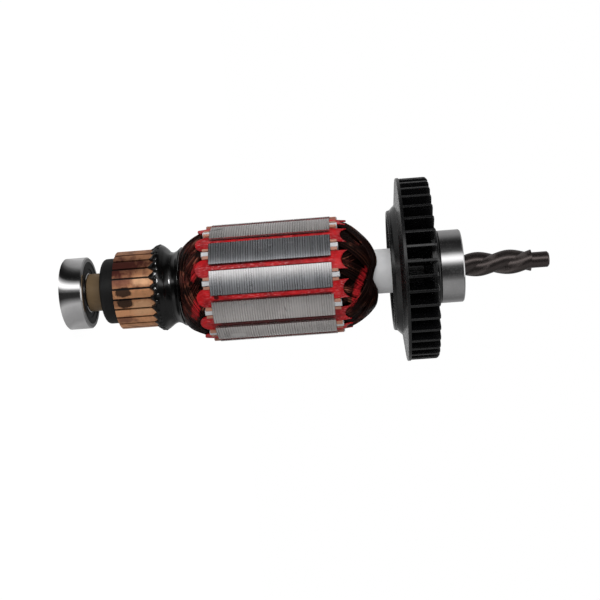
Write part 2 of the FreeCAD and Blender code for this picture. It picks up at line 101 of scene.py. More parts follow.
def smooth_profile(x: np.ndarray, stations: np.ndarray, values: np.ndarray) -> np.ndarray:
    """Cubic Hermite curve through the stations, with the mean of its neighbours' slopes at each.

    Args:
        x: Where to read it.
        stations: Rising positions.
        values: Values there.

    Returns:
        Values at x.
    """
    slopes = np.gradient(values, stations)
    i = np.clip(np.searchsorted(stations, x) - 1, 0, len(stations) - 2)
    width = stations[i + 1] - stations[i]
    t = np.clip((x - stations[i]) / width, 0.0, 1.0)
    rise = t * t * (3.0 - 2.0 * t)
    bend = slopes[i] * t * (1.0 - t) ** 2 - slopes[i + 1] * t * t * (1.0 - t)
    return values[i] * (1.0 - rise) + values[i + 1] * rise + width * bend


def polar(radius: np.ndarray, theta: np.ndarray, z: np.ndarray) -> np.ndarray:
    """Points from radius, angle and height: (r cos t, r sin t, z), stacked on the last axis."""
    radius, theta, z = np.broadcast_arrays(radius, theta, z)
    return np.stack([radius * np.cos(theta), radius * np.sin(theta), z], axis=-1)


def in_slots(points: np.ndarray) -> np.ndarray:
    """Copies of points that are given with +X through a slot's middle, one turned to each slot.

    Args:
        points: Array (..., 2) or (..., 3).

    Returns:
        Array (slots, ...) of the same kind.
    """
    angles = np.arange(SLOTS) * math.tau / SLOTS + math.radians(SLOT_TURN_DEG)
    angles = angles.reshape(-1, *[1] * (points.ndim - 1))
    x, y, cos, sin = points[..., 0], points[..., 1], np.cos(angles), np.sin(angles)
    plan = np.stack([x * cos - y * sin, x * sin + y * cos], axis=-1)
    rest = np.broadcast_to(points[..., 2:], (*plan.shape[:-1], points.shape[-1] - 2))
    return np.concatenate([plan, rest], axis=-1)


def grid_faces(rows: int, columns: int, wrap_rows: bool, wrap_columns: bool) -> np.ndarray:
    """Quads of a rows by columns grid of points, numbered row by row.

    Args:
        rows: Points along the first axis.
        columns: Points along the second axis.
        wrap_rows: Whether the last row joins the first.
        wrap_columns: Whether the last column joins the first.

    Returns:
        Array of shape (faces, 4).
    """
    i = np.arange(rows if wrap_rows else rows - 1)
    j = np.arange(columns if wrap_columns else columns - 1)
    a, b = np.meshgrid(i, j, indexing="ij")
    a2, b2 = (a + 1) % rows, (b + 1) % columns
    quads = np.stack([a * columns + b, a2 * columns + b, a2 * columns + b2, a * columns + b2], axis=-1)
    return quads.reshape(-1, 4)


@dataclass
class MeshParts:
    """Points, their shades and the faces between them, gathered into one mesh."""

    points: list[np.ndarray] = field(default_factory=list)
    shades: list[np.ndarray] = field(default_factory=list)
    faces: list[np.ndarray] = field(default_factory=list)
    count: int = 0

    def add(self, points: np.ndarray, *faces: np.ndarray, shade: float | np.ndarray = 0.0) -> None:
        """Adds one set of points (millimetres) and the faces between them.

        Args:
            points: Array that reshapes to (n, 3).
            *faces: Arrays of shape (m, 3) or (m, 4) of indices into points.
            shade: One number for all the points or for each, which the wire's finish reads.
        """
        flat = np.asarray(points, float).reshape(-1, 3)
        self.points.append(flat)
        self.shades.append(np.broadcast_to(shade, len(flat)))
        self.faces.extend(np.asarray(some) + self.count for some in faces)
        self.count += len(flat)

    def add_torus(self, points: np.ndarray, flip: bool, shade: float = 0.0) -> None:
        """Adds a (rows, columns, 3) grid that closes both ways, its faces turned round if flip is set."""
        faces = grid_faces(*points.shape[:2], True, True)
        self.add(points, faces[:, ::-1] if flip else faces, shade=shade)

    def to_object(self, name: str, smooth: bool = True) -> bpy.types.Object:
        """Makes the object, in metres, with its faces outwards.

        Args:
            name: Name of the piece.
            smooth: Whether to shade it smooth.

        Returns:
            The linked object, at the origin.
        """
        mesh = bpy.data.meshes.new(name)
        faces = [face for some in self.faces for face in some.tolist()]
        mesh.from_pydata((np.concatenate(self.points) * MM).tolist(), [], faces, shade_flat=not smooth)
        mesh.validate()
        piece = bpy.data.objects.new(name, mesh)
        bpy.context.scene.collection.objects.link(piece)
        return piece


@dataclass(frozen=True)
class Noise:
    """A noise texture: its scale, detail and roughness, and the stretch of the vector that it reads."""

    scale: float
    detail: float = 2.0
    roughness: float = 0.5
    stretch: tuple[float, float, float] = (1.0, 1.0, 1.0)


def math_method(operation: str, swap: bool = False) -> Callable[..., "Value"]:
    """Method for Value that adds a Math node on it and, where the operation takes two, on another value.

    Args:
        operation: The node's operation.
        swap: Whether the other value comes first.

    Returns:
        The method.
    """
    def method(self: "Value", other: "Value | float" = 0.0) -> "Value":
        """Adds the node."""
        return self.graph.math(operation, *((other, self) if swap else (self, other)))
    return method


@dataclass(frozen=True)
class Value:
    """An output of a node, with arithmetic that adds nodes to its graph."""

    graph: "Graph"
    socket: bpy.types.NodeSocket

    __add__ = math_method("ADD")
    __sub__ = math_method("SUBTRACT")
    __rsub__ = math_method("SUBTRACT", swap=True)
    __mul__ = math_method("MULTIPLY")
    __truediv__ = math_method("DIVIDE")
    __pow__ = math_method("POWER")
    __abs__ = math_method("ABSOLUTE")
    floor = math_method("FLOOR")
    fract = math_method("FRACT")
    larger = math_method("MAXIMUM")

    def remap(self, low: float, high: float, out_low: float = 0.0, out_high: float = 1.0) -> "Value":
        """Linear remap with the ends held."""
        return self.graph.value("MapRange", {0: self, 1: low, 2: high, 3: out_low, 4: out_high})

    def spread(self, out_low: float, out_high: float) -> "Value":
        """Remap of the range that a noise mostly keeps to."""
        return self.remap(*NOISE_RANGE, out_low, out_high)

    def stretched(self, *scale: float) -> "Value":
        """Vector multiplied by a scale on each axis."""
        return self.graph.value("VectorMath", {0: self, 1: scale}, operation="MULTIPLY")


Feed = Value | bpy.types.Node | float | tuple[float, ...]


class Graph:
    """A short way to write a material's or world's nodes."""

    def __init__(self, tree: bpy.types.NodeTree) -> None:
        """Starts with an empty tree.

        Args:
            tree: The node tree, which is cleared.
        """
        self.tree = tree
        self.shader: bpy.types.Node | None = None
        tree.nodes.clear()

    def feed(self, node: bpy.types.Node, key: str | int, value: Feed) -> None:
        """Gives a node's input its value.

        Args:
            node: The node.
            key: Name or index of the input.
            value: A Value or a node's first output to link, or a constant to set.
        """
        if isinstance(value, Value):
            self.tree.links.new(value.socket, node.inputs[key])
        elif isinstance(value, bpy.types.Node):
            self.tree.links.new(value.outputs[0], node.inputs[key])
        else:
            node.inputs[key].default_value = value

    def add(self, kind: str, inputs: dict | None = None, **settings) -> bpy.types.Node:
        """Adds a node.

        Args:
            kind: Node type without the ShaderNode prefix.
            inputs: Socket name or index to what feed() takes.
            **settings: Properties of the node.

        Returns:
            The node.
        """
        node = self.tree.nodes.new("ShaderNode" + kind)
        for key, value in settings.items():
            setattr(node, key, value)
        for key, value in (inputs or {}).items():
            self.feed(node, key, value)
        return node

    def value(self, kind: str, inputs: dict | None = None, output: str | int = 0, **settings) -> Value:
        """Adds a node as add() does, for one of its outputs."""
        return Value(self, self.add(kind, inputs, **settings).outputs[output])

    def shade(self, key: str, value: Feed) -> None:
        """Gives the principled shader's input its value."""
        self.feed(self.shader, key, value)

    def rough(self, change: Value) -> None:
        """Adds a change to the shader's plain roughness."""
        plain = self.shader.inputs["Roughness"].default_value
        self.shade("Roughness", self.math("ADD", change, plain, clamp=True))

    def math(self, operation: str, a: Value | float, b: Value | float = 0.0, clamp: bool = False) -> Value:
        """Output of a Math node on one or two values."""
        return self.value("Math", {0: a, 1: b}, operation=operation, use_clamp=clamp)

    def coords(self) -> Value:
        """Object coordinates, in metres."""
        return self.value("TexCoord", output="Object")

    def xyz(self) -> tuple[Value, ...]:
        """The three object coordinates."""
        return tuple(Value(self, socket) for socket in self.add("SeparateXYZ", {0: self.coords()}).outputs)

    def cylinder_coords(self) -> tuple[Value, Value, Value]:
        """Cylinder coordinates about the shaft.

        Returns:
            Angle in radians, height in metres, and a vector (angle, radius, height) for textures.
        """
        x, y, z = self.xyz()
        angle = self.math("ARCTAN2", y, x)
        radius = self.math("SQRT", x * x + y * y)
        return angle, z, self.value("CombineXYZ", {0: angle, 1: radius, 2: z})

    def noise(self, noise: Noise, vector: Value | None = None) -> Value:
        """Adds a noise texture.

        Args:
            noise: The noise.
            vector: What it reads, stretched, in place of the object coordinates.

        Returns:
            Its value, about 0 to 1.
        """
        place = vector.stretched(*noise.stretch) if vector else self.coords()
        return self.value("TexNoise", {"Vector": place, "Scale": noise.scale, "Detail": noise.detail,
                                       "Roughness": noise.roughness})

    def scaled(self, colour: Colour | Value, tone: Value) -> Value:
        """Colour times a tone."""
        return self.value("VectorMath", {0: colour, "Scale": tone}, operation="SCALE")

    def mix(self, amount: Value, a: Colour | Value, b: Colour | Value) -> Value:
        """Colour between a and b."""
        a, b = ((*end, 1.0) if isinstance(end, tuple) else end for end in (a, b))
        return self.value("Mix", {0: amount, 6: a, 7: b}, 2, data_type="RGBA")

    def by_angle(self, angle: Value, stops: Stops, top: float = 1.0) -> Value:
        """Tone at an angle of -180 to 180 degrees.

        Args:
            angle: The angle in radians.
            stops: Rising angles in degrees, each with its tone.
            top: Tone that the ramp is scaled by, no less than the highest.

        Returns:
            The tone divided by top.
        """
        turn = angle * (0.5 / math.pi) + 0.5
        node = self.add("ValToRGB", {0: turn})
        elements = node.color_ramp.elements
        while len(elements) < len(stops):
            elements.new(0.5)
        for element, (degrees, tone) in zip(elements, stops):
            element.position = (degrees + 180.0) / 360.0
            element.color = (tone / top, tone / top, tone / top, 1.0)
        return Value(self, node.outputs[0])

    def bump(self, height: Value, distance: float, normal: Value | None = None) -> Value:
        """Bump normal from a height of 0 to 1 times a distance in metres."""
        inputs = {"Height": height, "Distance": distance, "Strength": 1.0}
        return self.value("Bump", inputs | ({"Normal": normal} if normal else {}))


def slot_place(angle: Value) -> Value:
    """Angle about the shaft counted in slots: whole numbers are the slots' middles."""
    return (angle - math.radians(SLOT_TURN_DEG)) / (math.tau / SLOTS)


def new_material(name: str) -> tuple[bpy.types.Material, Graph]:
    """Adds a material.

    Args:
        name: Its name.

    Returns:
        The material and the graph of its empty node tree.
    """
    material = bpy.data.materials.new(name)
    material.use_nodes = True
    return material, Graph(material.node_tree)


@dataclass(frozen=True)
class Patch:
    """A long spot on a round body: its centre, half sizes and slant, in degrees and millimetres."""

    angle_deg: float
    height: float
    half_long: float
    half_wide: float
    slant_deg: float = 0.0
    radius: float = 13.0
    power: float = 2.4

    def mask(self, angle: Value, z: Value, ragged: Value, soft: float) -> Value:
        """One inside the spot and nothing outside. With x and y the distances along and across it over its
        half sizes, the edge is where (x^p + y^p)^(1/p) is one.

        Args:
            angle: Angle about the shaft.
            z: Height.
            ragged: What is added to the distance, for an uneven edge.
            soft: Width of the edge.

        Returns:
            A value of 0 to 1.
        """
        cos, sin = math.cos(math.radians(self.slant_deg)), math.sin(math.radians(self.slant_deg))
        round_way = (angle - math.radians(self.angle_deg)) * self.radius
        long_way = (z - self.height * MM) / MM
        along = (long_way * cos + round_way * sin) / self.half_long
        across = (round_way * cos - long_way * sin) / self.half_wide
        away = (abs(along) ** self.power + abs(across) ** self.power) ** (1.0 / self.power)
        return (away + ragged).remap(1.0 - soft / 2.0, 1.0 + soft / 2.0, 1.0, 0.0)


def patches(radius: float, *spots: tuple[float, ...]) -> tuple[Patch, ...]:
    """Patches on one radius, each from its angle, height, half sizes and, where it has one, slant."""
    return tuple(Patch(*spot, radius=radius) for spot in spots)


@dataclass(frozen=True)
class Marks:
    """Patches that are alike: their amount, how soft and how ragged their edges are, and their colour."""

    spots: tuple[Patch, ...]
    amount: float = 1.0
    soft: float = 0.25
    ragged: float = 0.0
    colour: Colour = (0.0, 0.0, 0.0)

    def masks(self, angle: Value, z: Value, noise: Value) -> list[Value]:
        """For each patch the amount inside it and nothing outside, with edges that the noise makes ragged."""
        ragged = noise.spread(-self.ragged, self.ragged)
        return [spot.mask(angle, z, ragged, self.soft) * self.amount for spot in self.spots]

    def raised(self, value: Value | float, angle: Value, z: Value, noise: Value) -> Value:
        """Raises a value to the amount inside each patch, where it is less.

        Args:
            value: The value.
            angle: Angle about the shaft.
            z: Height.
            noise: What makes the edges ragged.

        Returns:
            The raised value.
        """
        for mask in self.masks(angle, z, noise):
            value = mask.larger(value)
        return value

    def over(self, base: Value, angle: Value, z: Value, noise: Value) -> Value:
        """Lays the marks' colour over a base colour.

        Args:
            base: The base colour.
            angle: Angle about the shaft.
            z: Height.
            noise: What makes the edges ragged.

        Returns:
            The colour with the marks.
        """
        for mask in self.masks(angle, z, noise):
            base = base.graph.mix(mask, base, self.colour)
        return base


@dataclass(frozen=True)
class Finish(ABC):
    """A surface finish: the shader's plain settings, and the pattern that each kind of finish adds."""

    name: str
    slot: str
    colour: Colour
    roughness: float = 0.5
    metallic: float = 0.0
    coat: float = 0.0
    coat_roughness: float = 0.1
    specular: float = 0.5
    specular_tint: Colour = (1.0, 1.0, 1.0)

    def material(self) -> bpy.types.Material:
        """Builds the material, once.

        Returns:
            The material of this name.
        """
        title = self.name + "_finish"
        found = bpy.data.materials.get(title)
        if found:
            return found
        material, graph = new_material(title)
        graph.shader = graph.add("BsdfPrincipled", {
            "Base Color": (*self.colour, 1.0), "Roughness": self.roughness, "Metallic": self.metallic,
            "Coat Weight": self.coat, "Coat Roughness": self.coat_roughness,
            "Specular IOR Level": self.specular, "Specular Tint": (*self.specular_tint, 1.0),
        })
        self.pattern(graph)
        graph.add("OutputMaterial", {0: graph.shader})
        return material

    @abstractmethod
    def pattern(self, graph: Graph) -> None:
        """Adds the pattern to the plain settings.

        Args:
            graph: The material's nodes, with its shader.
        """

    def dress(self, piece: bpy.types.Object) -> None:
        """Puts this finish on a piece or a CAD node, in place of what it had.

        Args:
            piece: The piece or the node's object.
        """
        piece.data.materials.clear()
        piece.data.materials.append(self.material())


@dataclass(frozen=True)
class Mottled(Finish):
    """Moulded plastic, fibre or rubber with a fine mottled grain."""

    grain: Noise = Noise(900.0, 3.0, 0.6)
    grain_rough: Range = (-0.05, 0.05)
    grain_depth: float = 0.00002
    mottle: Noise = Noise(120.0)
    mottle_tone: Range = (0.85, 1.12)

    def pattern(self, graph: Graph) -> None:
        """Mottled colour, and the grain in roughness and bump.

        Args:
            graph: The material's nodes, with its shader.
        """
        grain = graph.noise(self.grain)
        tone = graph.noise(self.mottle).spread(*self.mottle_tone)
        graph.shade("Base Color", graph.scaled(self.colour, tone))
        graph.rough(grain.spread(*self.grain_rough))
        graph.shade("Normal", graph.bump(grain, self.grain_depth))


@dataclass(frozen=True)
class TurnedSteel(Finish):
    """Ground or turned steel: fine rings round the shaft, with light and dark runs."""

    rings: Noise = Noise(9000.0, 2.0, 0.6, (0.4, 1.0, 1.0))
    ring_tone: Range = (0.93, 1.05)
    ring_depth: float = 0.000002
    cloud: Noise = Noise(260.0, 4.0, 0.6)
    cloud_tone: Range = (0.92, 1.04)
    cloud_rough: Range = (-0.04, 0.06)
    spots: Noise = Noise(700.0, 3.0, 0.7)
    spots_range: Range = (0.55, 0.75)
    stain: Colour = (0.10, 0.07, 0.05)
    stain_amount: float = 0.0

    def pattern(self, graph: Graph) -> None:
        """Rings from noise that is stretched round the shaft, and faint stains.

        Args:
            graph: The material's nodes, with its shader.
        """
        rings = graph.noise(self.rings, graph.cylinder_coords()[2])
        cloud = graph.noise(self.cloud)
        base = graph.scaled(self.colour, rings.spread(*self.ring_tone) * cloud.spread(*self.cloud_tone))
        spots = graph.noise(self.spots).remap(*self.spots_range, 0.0, self.stain_amount)
        graph.shade("Base Color", graph.mix(spots, base, self.stain))
        graph.rough(cloud.spread(*self.cloud_rough))
        graph.shade("Normal", graph.bump(rings, self.ring_depth))


@dataclass(frozen=True)
class MouldedNylon(Finish):
    """Black moulded nylon whose edges are a little rounded, so that they catch the light."""

    grain: Noise = Noise(1100.0, 3.0, 0.6)
    grain_rough: Range = (-0.05, 0.08)
    grain_depth: float = 0.000012
    edge_round: float = 0.00032
    edge_samples: int = 6

    def pattern(self, graph: Graph) -> None:
        """Rounded normals near edges, under a fine grain.

        Args:
            graph: The material's nodes, with its shader.
        """
        grain = graph.noise(self.grain)
        rounded = graph.value("Bevel", {"Radius": self.edge_round}, samples=self.edge_samples)
        graph.rough(grain.spread(*self.grain_rough))
        graph.shade("Normal", graph.bump(grain, self.grain_depth, rounded))


@dataclass(frozen=True)
class CoreSteel(Finish):
    """Edges of the stacked stampings: each has its own tone, with turning marks and smears."""

    sheets: int = 49
    sheet_tone: Range = (0.93, 1.05)
    sheet_rough: Range = (-0.02, 0.03)
    waver: Noise = Noise(1.0, stretch=(6.0, 1.0, 90.0))
    waver_range: Range = (-0.04, 0.04)
    line: Noise = Noise(1.0, 3.0, 0.6, (4.0, 1.0, 120.0))
    line_tone: Range = (0.45, 0.85)
    line_edge: Range = (0.20, 0.46)
    # The tint and the tones by angle below are painted shade and reflection; the lines fade on the brighter
    # teeth.
    line_fade_by_painted_warmth: float = 0.45
    painted_cool_shade: Colour = (0.62, 0.635, 0.67)
    painted_warmth_by_angle: Stops = (
        (-180, 0.8), (-138, 1.0), (-134, 0.0), (-107, 0.0), (-104, 0.7), (-95, 0.5), (-88, 0.0), (-77, 0.0),
        (-73, 1.0), (-20, 1.0), (40, 0.5), (100, 0.8), (180, 0.8),
    )
    painted_light_by_angle: Stops = (
        (-180, 0.5), (-137, 0.5), (-134, 0.33), (-109, 0.36), (-105, 0.44), (-97, 0.46), (-90, 0.5),
        (180, 0.5),
    )
    cloud: Noise = Noise(160.0, 4.0, 0.65)
    cloud_tone: Range = (0.90, 1.06)
    smear: Noise = Noise(4.0, 3.0, 0.55, (2.2, 1.0, 45.0))
    smear_range: Remap = (0.63, 0.70, 0.0, 0.5)
    smeared: Colour = (0.62, 0.62, 0.63)
    rust: Noise = Noise(500.0, 3.0, 0.6)
    rust_range: Remap = (0.62, 0.78, 0.0, 0.3)
    rusty: Colour = (0.14, 0.085, 0.055)
    cement: Marks = Marks(patches(17.8, (-27.0, 52.8, 2.4, 1.3)), 0.8, 0.3, 0.15, (0.90, 0.87, 0.85))
    nicks: Marks = Marks(patches(17.8, (-154.0, 48.9, 1.6, 0.35, -10.0), (-60.0, 68.0, 0.9, 0.14, 78.0)),
                         0.8, 0.8, 0.15, (0.16, 0.15, 0.145))

    def pattern(self, graph: Graph) -> None:
        """A tone for each stamping, a dark line between them, smears and rust. Some teeth are darker and
        cooler than others by their angle about the shaft, which is painted shade and reflection.

        Args:
            graph: The material's nodes, with its shader.
        """
        angle, z, vector = graph.cylinder_coords()
        start, end = ends("lamination_stack")
        waver = graph.noise(self.waver, vector).spread(*self.waver_range)
        layer = (z - start) / ((end - start) / self.sheets) + waver
        seed = graph.value("CombineXYZ", {0: layer.floor(), 1: slot_place(angle).floor(), 2: 0.0})
        sheet = graph.value("TexWhiteNoise", {0: seed}, noise_dimensions="3D")
        # Painted shade and reflection by angle about the shaft: some teeth darker, some with a cooler tint.
        painted_warmth, bright = (graph.by_angle(angle, stops) for stops in (self.painted_warmth_by_angle, self.painted_light_by_angle))
        line_tone = graph.noise(self.line, vector).spread(*self.line_tone)
        line_tone = (1.0 - line_tone) * (painted_warmth * self.line_fade_by_painted_warmth) + line_tone
        line = 1.0 - abs(layer.fract() - 0.5).remap(*self.line_edge) * (1.0 - line_tone)
        cloud = graph.noise(self.cloud)
        tone = sheet.remap(0.0, 1.0, *self.sheet_tone) * line * cloud.spread(*self.cloud_tone)
        base = graph.scaled(graph.mix(painted_warmth, self.painted_cool_shade, self.colour), tone * (bright * 2.0))
        base = graph.mix(graph.noise(self.smear, vector).remap(*self.smear_range), base, self.smeared)
        base = graph.mix(graph.noise(self.rust).remap(*self.rust_range), base, self.rusty)
        for marks in (self.cement, self.nicks):
            base = marks.over(base, angle, z, cloud)
        graph.shade("Base Color", base)
        graph.rough(sheet.remap(0.0, 1.0, *self.sheet_rough))


@dataclass(frozen=True)
class BarCopper(Finish):
    """Commutator copper: every bar with its own tone, brush rings, a maroon film and two scorch marks."""

    bar_dark: Range = (-0.15, 0.32)
    # Darker near each bar's sides: dark joints between the bars, and painted shade at the bar edges.
    bar_joint_and_shade: Colour = (0.035, 0.014, 0.010)
    bar_joint_and_shade_range: Remap = (0.36, 0.47, 0.0, 0.85)
    rings: Noise = Noise(5200.0, 2.0, 0.6, (0.25, 1.0, 1.0))
    ring_range: Range = (0.35, 0.65)
    ring_depth: float = 0.000008
    bright: Colour = (0.98, 0.52, 0.27)
    cloud: Noise = Noise(2.6, 4.0, 0.6, (1.6, 60.0, 150.0))
    cloud_range: Remap = (0.45, 0.72, 0.0, 0.45)
    film: Colour = (0.115, 0.030, 0.022)
    film_deg: float = -126.0
    film_width_deg: float = 27.0
    film_z: Range = (0.018, 0.028)
    film_amount: Range = (0.95, 0.35)
    film_rough: Range = (-0.04, 0.12)
    edge: Noise = Noise(700.0, 3.0, 0.6)
    brown: Marks = Marks(patches(11.9, (-102.0, 19.2, 3.6, 1.5), (-41.0, 19.2, 3.4, 1.6)),
                         0.75, 0.7, 0.3, (0.20, 0.072, 0.048))
    rubbed: Marks = Marks(patches(11.9, (-62.0, 25.2, 3.4, 2.6), (-102.0, 25.4, 2.6, 1.4)),
                          0.6, 0.7, 0.3, (1.0, 0.60, 0.34))
    scorches: Marks = Marks(patches(11.9, (-87.0, 19.9, 2.35, 1.5), (-70.5, 20.0, 2.45, 1.45)),
                            0.93, 0.25, 0.14, (0.020, 0.013, 0.011))
    scorch_rough: float = 0.2

    def pattern(self, graph: Graph) -> None:
        """Hash of the bar's number for its tone, rings from the brushes, film and scorches.

        Args:
            graph: The material's nodes, with its shader.
        """
        angle, z, vector = graph.cylinder_coords()
        step = math.tau / BARS
        place = (angle + (math.tau + step / 2.0 - math.radians(BAR_TURN_DEG))) / step
        bar = graph.value("TexWhiteNoise", {"W": place.floor()}, noise_dimensions="1D")
        rings = graph.noise(self.rings, vector)
        cloud = graph.noise(self.cloud, vector)
        from_film = (angle - math.radians(self.film_deg)) / math.radians(self.film_width_deg)
        film = graph.math("EXPONENT", from_film * from_film * -1.0) * z.remap(*self.film_z, *self.film_amount)
        uneven = bar.remap(0.0, 1.0, *self.bar_dark) + cloud.remap(*self.cloud_range)
        dark = graph.math("ADD", uneven, film, clamp=True)
        base = graph.mix(dark, graph.mix(rings.remap(*self.ring_range), self.colour, self.bright), self.film)
        # Dark joints between the bars and painted shade at the bar edges.
        base = graph.mix(abs(place.fract() - 0.5).remap(*self.bar_joint_and_shade_range), base, self.bar_joint_and_shade)
        edge = graph.noise(self.edge)
        for marks in (self.brown, self.rubbed):
            base = marks.over(base, angle, z, edge)
        black = self.scorches.raised(0.0, angle, z, edge)
        graph.shade("Base Color", graph.mix(black, base, self.scorches.colour))
        graph.rough(dark.remap(0.0, 1.0, *self.film_rough) + black * self.scorch_rough)
        graph.shade("Normal", graph.bump(rings, self.ring_depth))


@dataclass(frozen=True)
class Enamel(Finish):
    """Varnished magnet wire: dark red-brown with black pools, rubbed copper on some turns and red stains."""

    tone: Range = (0.2, 2.1)
    copper: Colour = (0.40, 0.145, 0.085)
    rubbed: Noise = Noise(260.0)
    rubbed_range: Range = (0.46, 0.58)
    rubbed_shades: Range = (0.70, 0.95)
    rubbed_amount: float = 0.65
    # Black pools: varnish, and painted shadow in the hollows of the heads, more of them towards the front
    # head.
    pools: Noise = Noise(190.0, 3.0, 0.55)
    pool_range: Range = (0.45, 0.545)
    pool_z: Range = (0.045, 0.085)
    pool_rise: float = 0.11
    pool_amount: float = 0.92
    pool_rough: Range = (0.06, -0.08)
    pool_tint: Colour = (0.10, 0.06, 0.055)
    edge: Noise = Noise(700.0, 3.0, 0.6)
    stains: Marks = Marks(patches(
        13.0, (-75.0, 89.6, 4.4, 1.0, -64.0), (-62.0, 41.5, 3.0, 1.2, -70.0), (-104.0, 42.0, 2.4, 0.8, -75.0),
        (30.0, 89.0, 5.0, 1.1, -60.0), (150.0, 90.0, 5.0, 1.0, -60.0),
    ), 1.0, 0.5, 0.3, (0.48, 0.016, 0.022))
    stain_by_shade: Remap = (0.0, 0.8, 0.15, 1.0)
    # Black patches on the heads: varnish, and painted shadow in their hollows.
    black: Marks = Marks(patches(
        13.0, (-30.0, 39.5, 2.8, 3.8), (-126.0, 86.5, 2.6, 4.0), (-45.0, 92.0, 3.6, 5.5),
        (-100.0, 90.5, 3.0, 3.2), (80.0, 91.0, 3.0, 6.0),
    ), 1.0, 0.8, 0.3, (0.0035, 0.0016, 0.0014))

    def pattern(self, graph: Graph) -> None:
        """Each strand's own shade from its attribute, with stains over them, and black pools that are varnish
        and painted shadow in the hollows.

        Args:
            graph: The material's nodes, with its shader.
        """
        angle, z, _ = graph.cylinder_coords()
        shade = graph.value("Attribute", output="Fac", attribute_name="shade")
        rubbed = shade.remap(*self.rubbed_shades) * graph.noise(self.rubbed).remap(*self.rubbed_range)
        base = graph.scaled(self.colour, (shade * shade).remap(0.0, 1.0, *self.tone))
        base = graph.mix(rubbed * self.rubbed_amount, base, self.copper)
        edge = graph.noise(self.edge)
        # Black pools of varnish and painted shadow, more towards the front head.
        pool_and_shadow = graph.noise(self.pools) + z.remap(*self.pool_z, 0.0, self.pool_rise)
        pool_and_shadow = self.black.raised(pool_and_shadow.remap(*self.pool_range), angle, z, edge)
        base = graph.mix(pool_and_shadow * self.pool_amount, base, self.black.colour)
        red = self.stains.raised(0.0, angle, z, edge) * shade.remap(*self.stain_by_shade)
        graph.shade("Base Color", graph.mix(red, base, self.stains.colour))
        graph.rough(pool_and_shadow.remap(0.0, 1.0, *self.pool_rough))
        graph.shade("Specular Tint", graph.mix(pool_and_shadow, self.specular_tint, self.pool_tint))


@dataclass(frozen=True)
class Varnish(Finish):
    """Black varnish, thin and dull at the hooks and thick and glossy on the neck."""

    hooks_up: float = 0.00165
    neck_up: float = 0.00365
    coat_range: Range = (0.06, 0.6)
    ripple: Noise = Noise(260.0)
    ripple_rough: Range = (-0.05, 0.08)
    ripple_depth: float = 0.00012
    coat_depth: float = 0.00006

    def pattern(self, graph: Graph) -> None:
        """Coat weight that grows with height, over small ripples.

        Args:
            graph: The material's nodes, with its shader.
        """
        z = graph.cylinder_coords()[1]
        start = ends("resin_coating")[0]
        graph.shade("Coat Weight", z.remap(start + self.hooks_up, start + self.neck_up, *self.coat_range))
        ripple = graph.noise(self.ripple)
        graph.rough(ripple.spread(*self.ripple_rough))
        graph.shade("Normal", graph.bump(ripple, self.ripple_depth))
        graph.shade("Coat Normal", graph.bump(ripple, self.coat_depth))


@dataclass(frozen=True)
class RedFibre(Finish):
    """Varnished red slot strip: pale scuffs that are partly painted highlights, painted shadow by the teeth
    and over one gap, and a small burn.
    """

    cloud: Noise = Noise(260.0, 3.0, 0.6)
    cloud_range: Range = (0.35, 0.7)
    cloud_depth: float = 0.00008
    deep: Colour = (0.20, 0.003, 0.006)
    # Pale streaks along the strip: scuffs, partly painted highlights, gathered over three gaps between the
    # teeth.
    scuff_and_highlight_streaks: Noise = Noise(1.0, 4.0, 0.75, (60.0, 1.0, 700.0))
    scuff_and_highlight_streak_range: Remap = (0.52, 0.68, 0.0, 0.7)
    scuff_rough: Range = (-0.08, 0.16)
    scuff_and_highlight: Noise = Noise(90.0)
    scuff_and_highlight_range: Range = (0.42, 0.62)
    scuffs_and_highlights: Marks = Marks(patches(
        17.0, (-105.4, 54.0, 12.0, 1.2), (-135.4, 46.0, 4.0, 1.6), (-75.4, 62.0, 6.0, 1.0),
    ), 1.25, 0.9, 0.0, (0.80, 0.34, 0.36))
    # Painted shadow at both edges of each strip, by the teeth.
    tooth_shadow_range: Remap = (0.050, 0.082, 0.0, 0.85)
    tooth_shadow_out: float = 0.0002
    tooth_shadow_in: float = 0.0008
    # Painted shadow over one gap, and a small burn.
    dark: Marks = Marks(patches(17.0, (-45.4, 65.0, 18.6, 1.7), (-76.0, 48.2, 0.7, 0.6)),
                        0.88, 0.2, 0.12, (0.014, 0.0012, 0.0016))

    def pattern(self, graph: Graph) -> None:
        """Deeper red clouds, small pale scuffs along the strip that are partly painted highlights, painted
        shadow at the edges by the teeth, and a soft bump.

        Args:
            graph: The material's nodes, with its shader.
        """
        angle, z, vector = graph.cylinder_coords()
        cloud = graph.noise(self.cloud)
        scuff_and_highlight_streaks = graph.noise(self.scuff_and_highlight_streaks, vector)
        base = graph.mix(cloud.remap(*self.cloud_range), self.colour, self.deep)
        # Pale scuffs that are partly painted highlights.
        scuff_and_highlight = self.scuffs_and_highlights.raised(graph.noise(self.scuff_and_highlight).remap(*self.scuff_and_highlight_range), angle, z, cloud)
        base = graph.mix(scuff_and_highlight_streaks.remap(*self.scuff_and_highlight_streak_range) * scuff_and_highlight, base, self.scuffs_and_highlights.colour)
        # Painted shadow at the strip's edges by the teeth, and over one gap.
        start, end = ends("lamination_stack")
        between_teeth = z.remap(start - self.tooth_shadow_out, start + self.tooth_shadow_in)
        between_teeth = between_teeth * z.remap(end - self.tooth_shadow_in, end + self.tooth_shadow_out, 1.0, 0.0)
        across = abs((slot_place(angle) + 0.5).fract() - 0.5)
        edge = self.dark.raised(across.remap(*self.tooth_shadow_range) * between_teeth, angle, z, cloud)
        graph.shade("Base Color", graph.mix(edge, base, self.dark.colour))
        graph.rough(scuff_and_highlight_streaks.spread(*self.scuff_rough))
        graph.shade("Normal", graph.bump(cloud, self.cloud_depth))


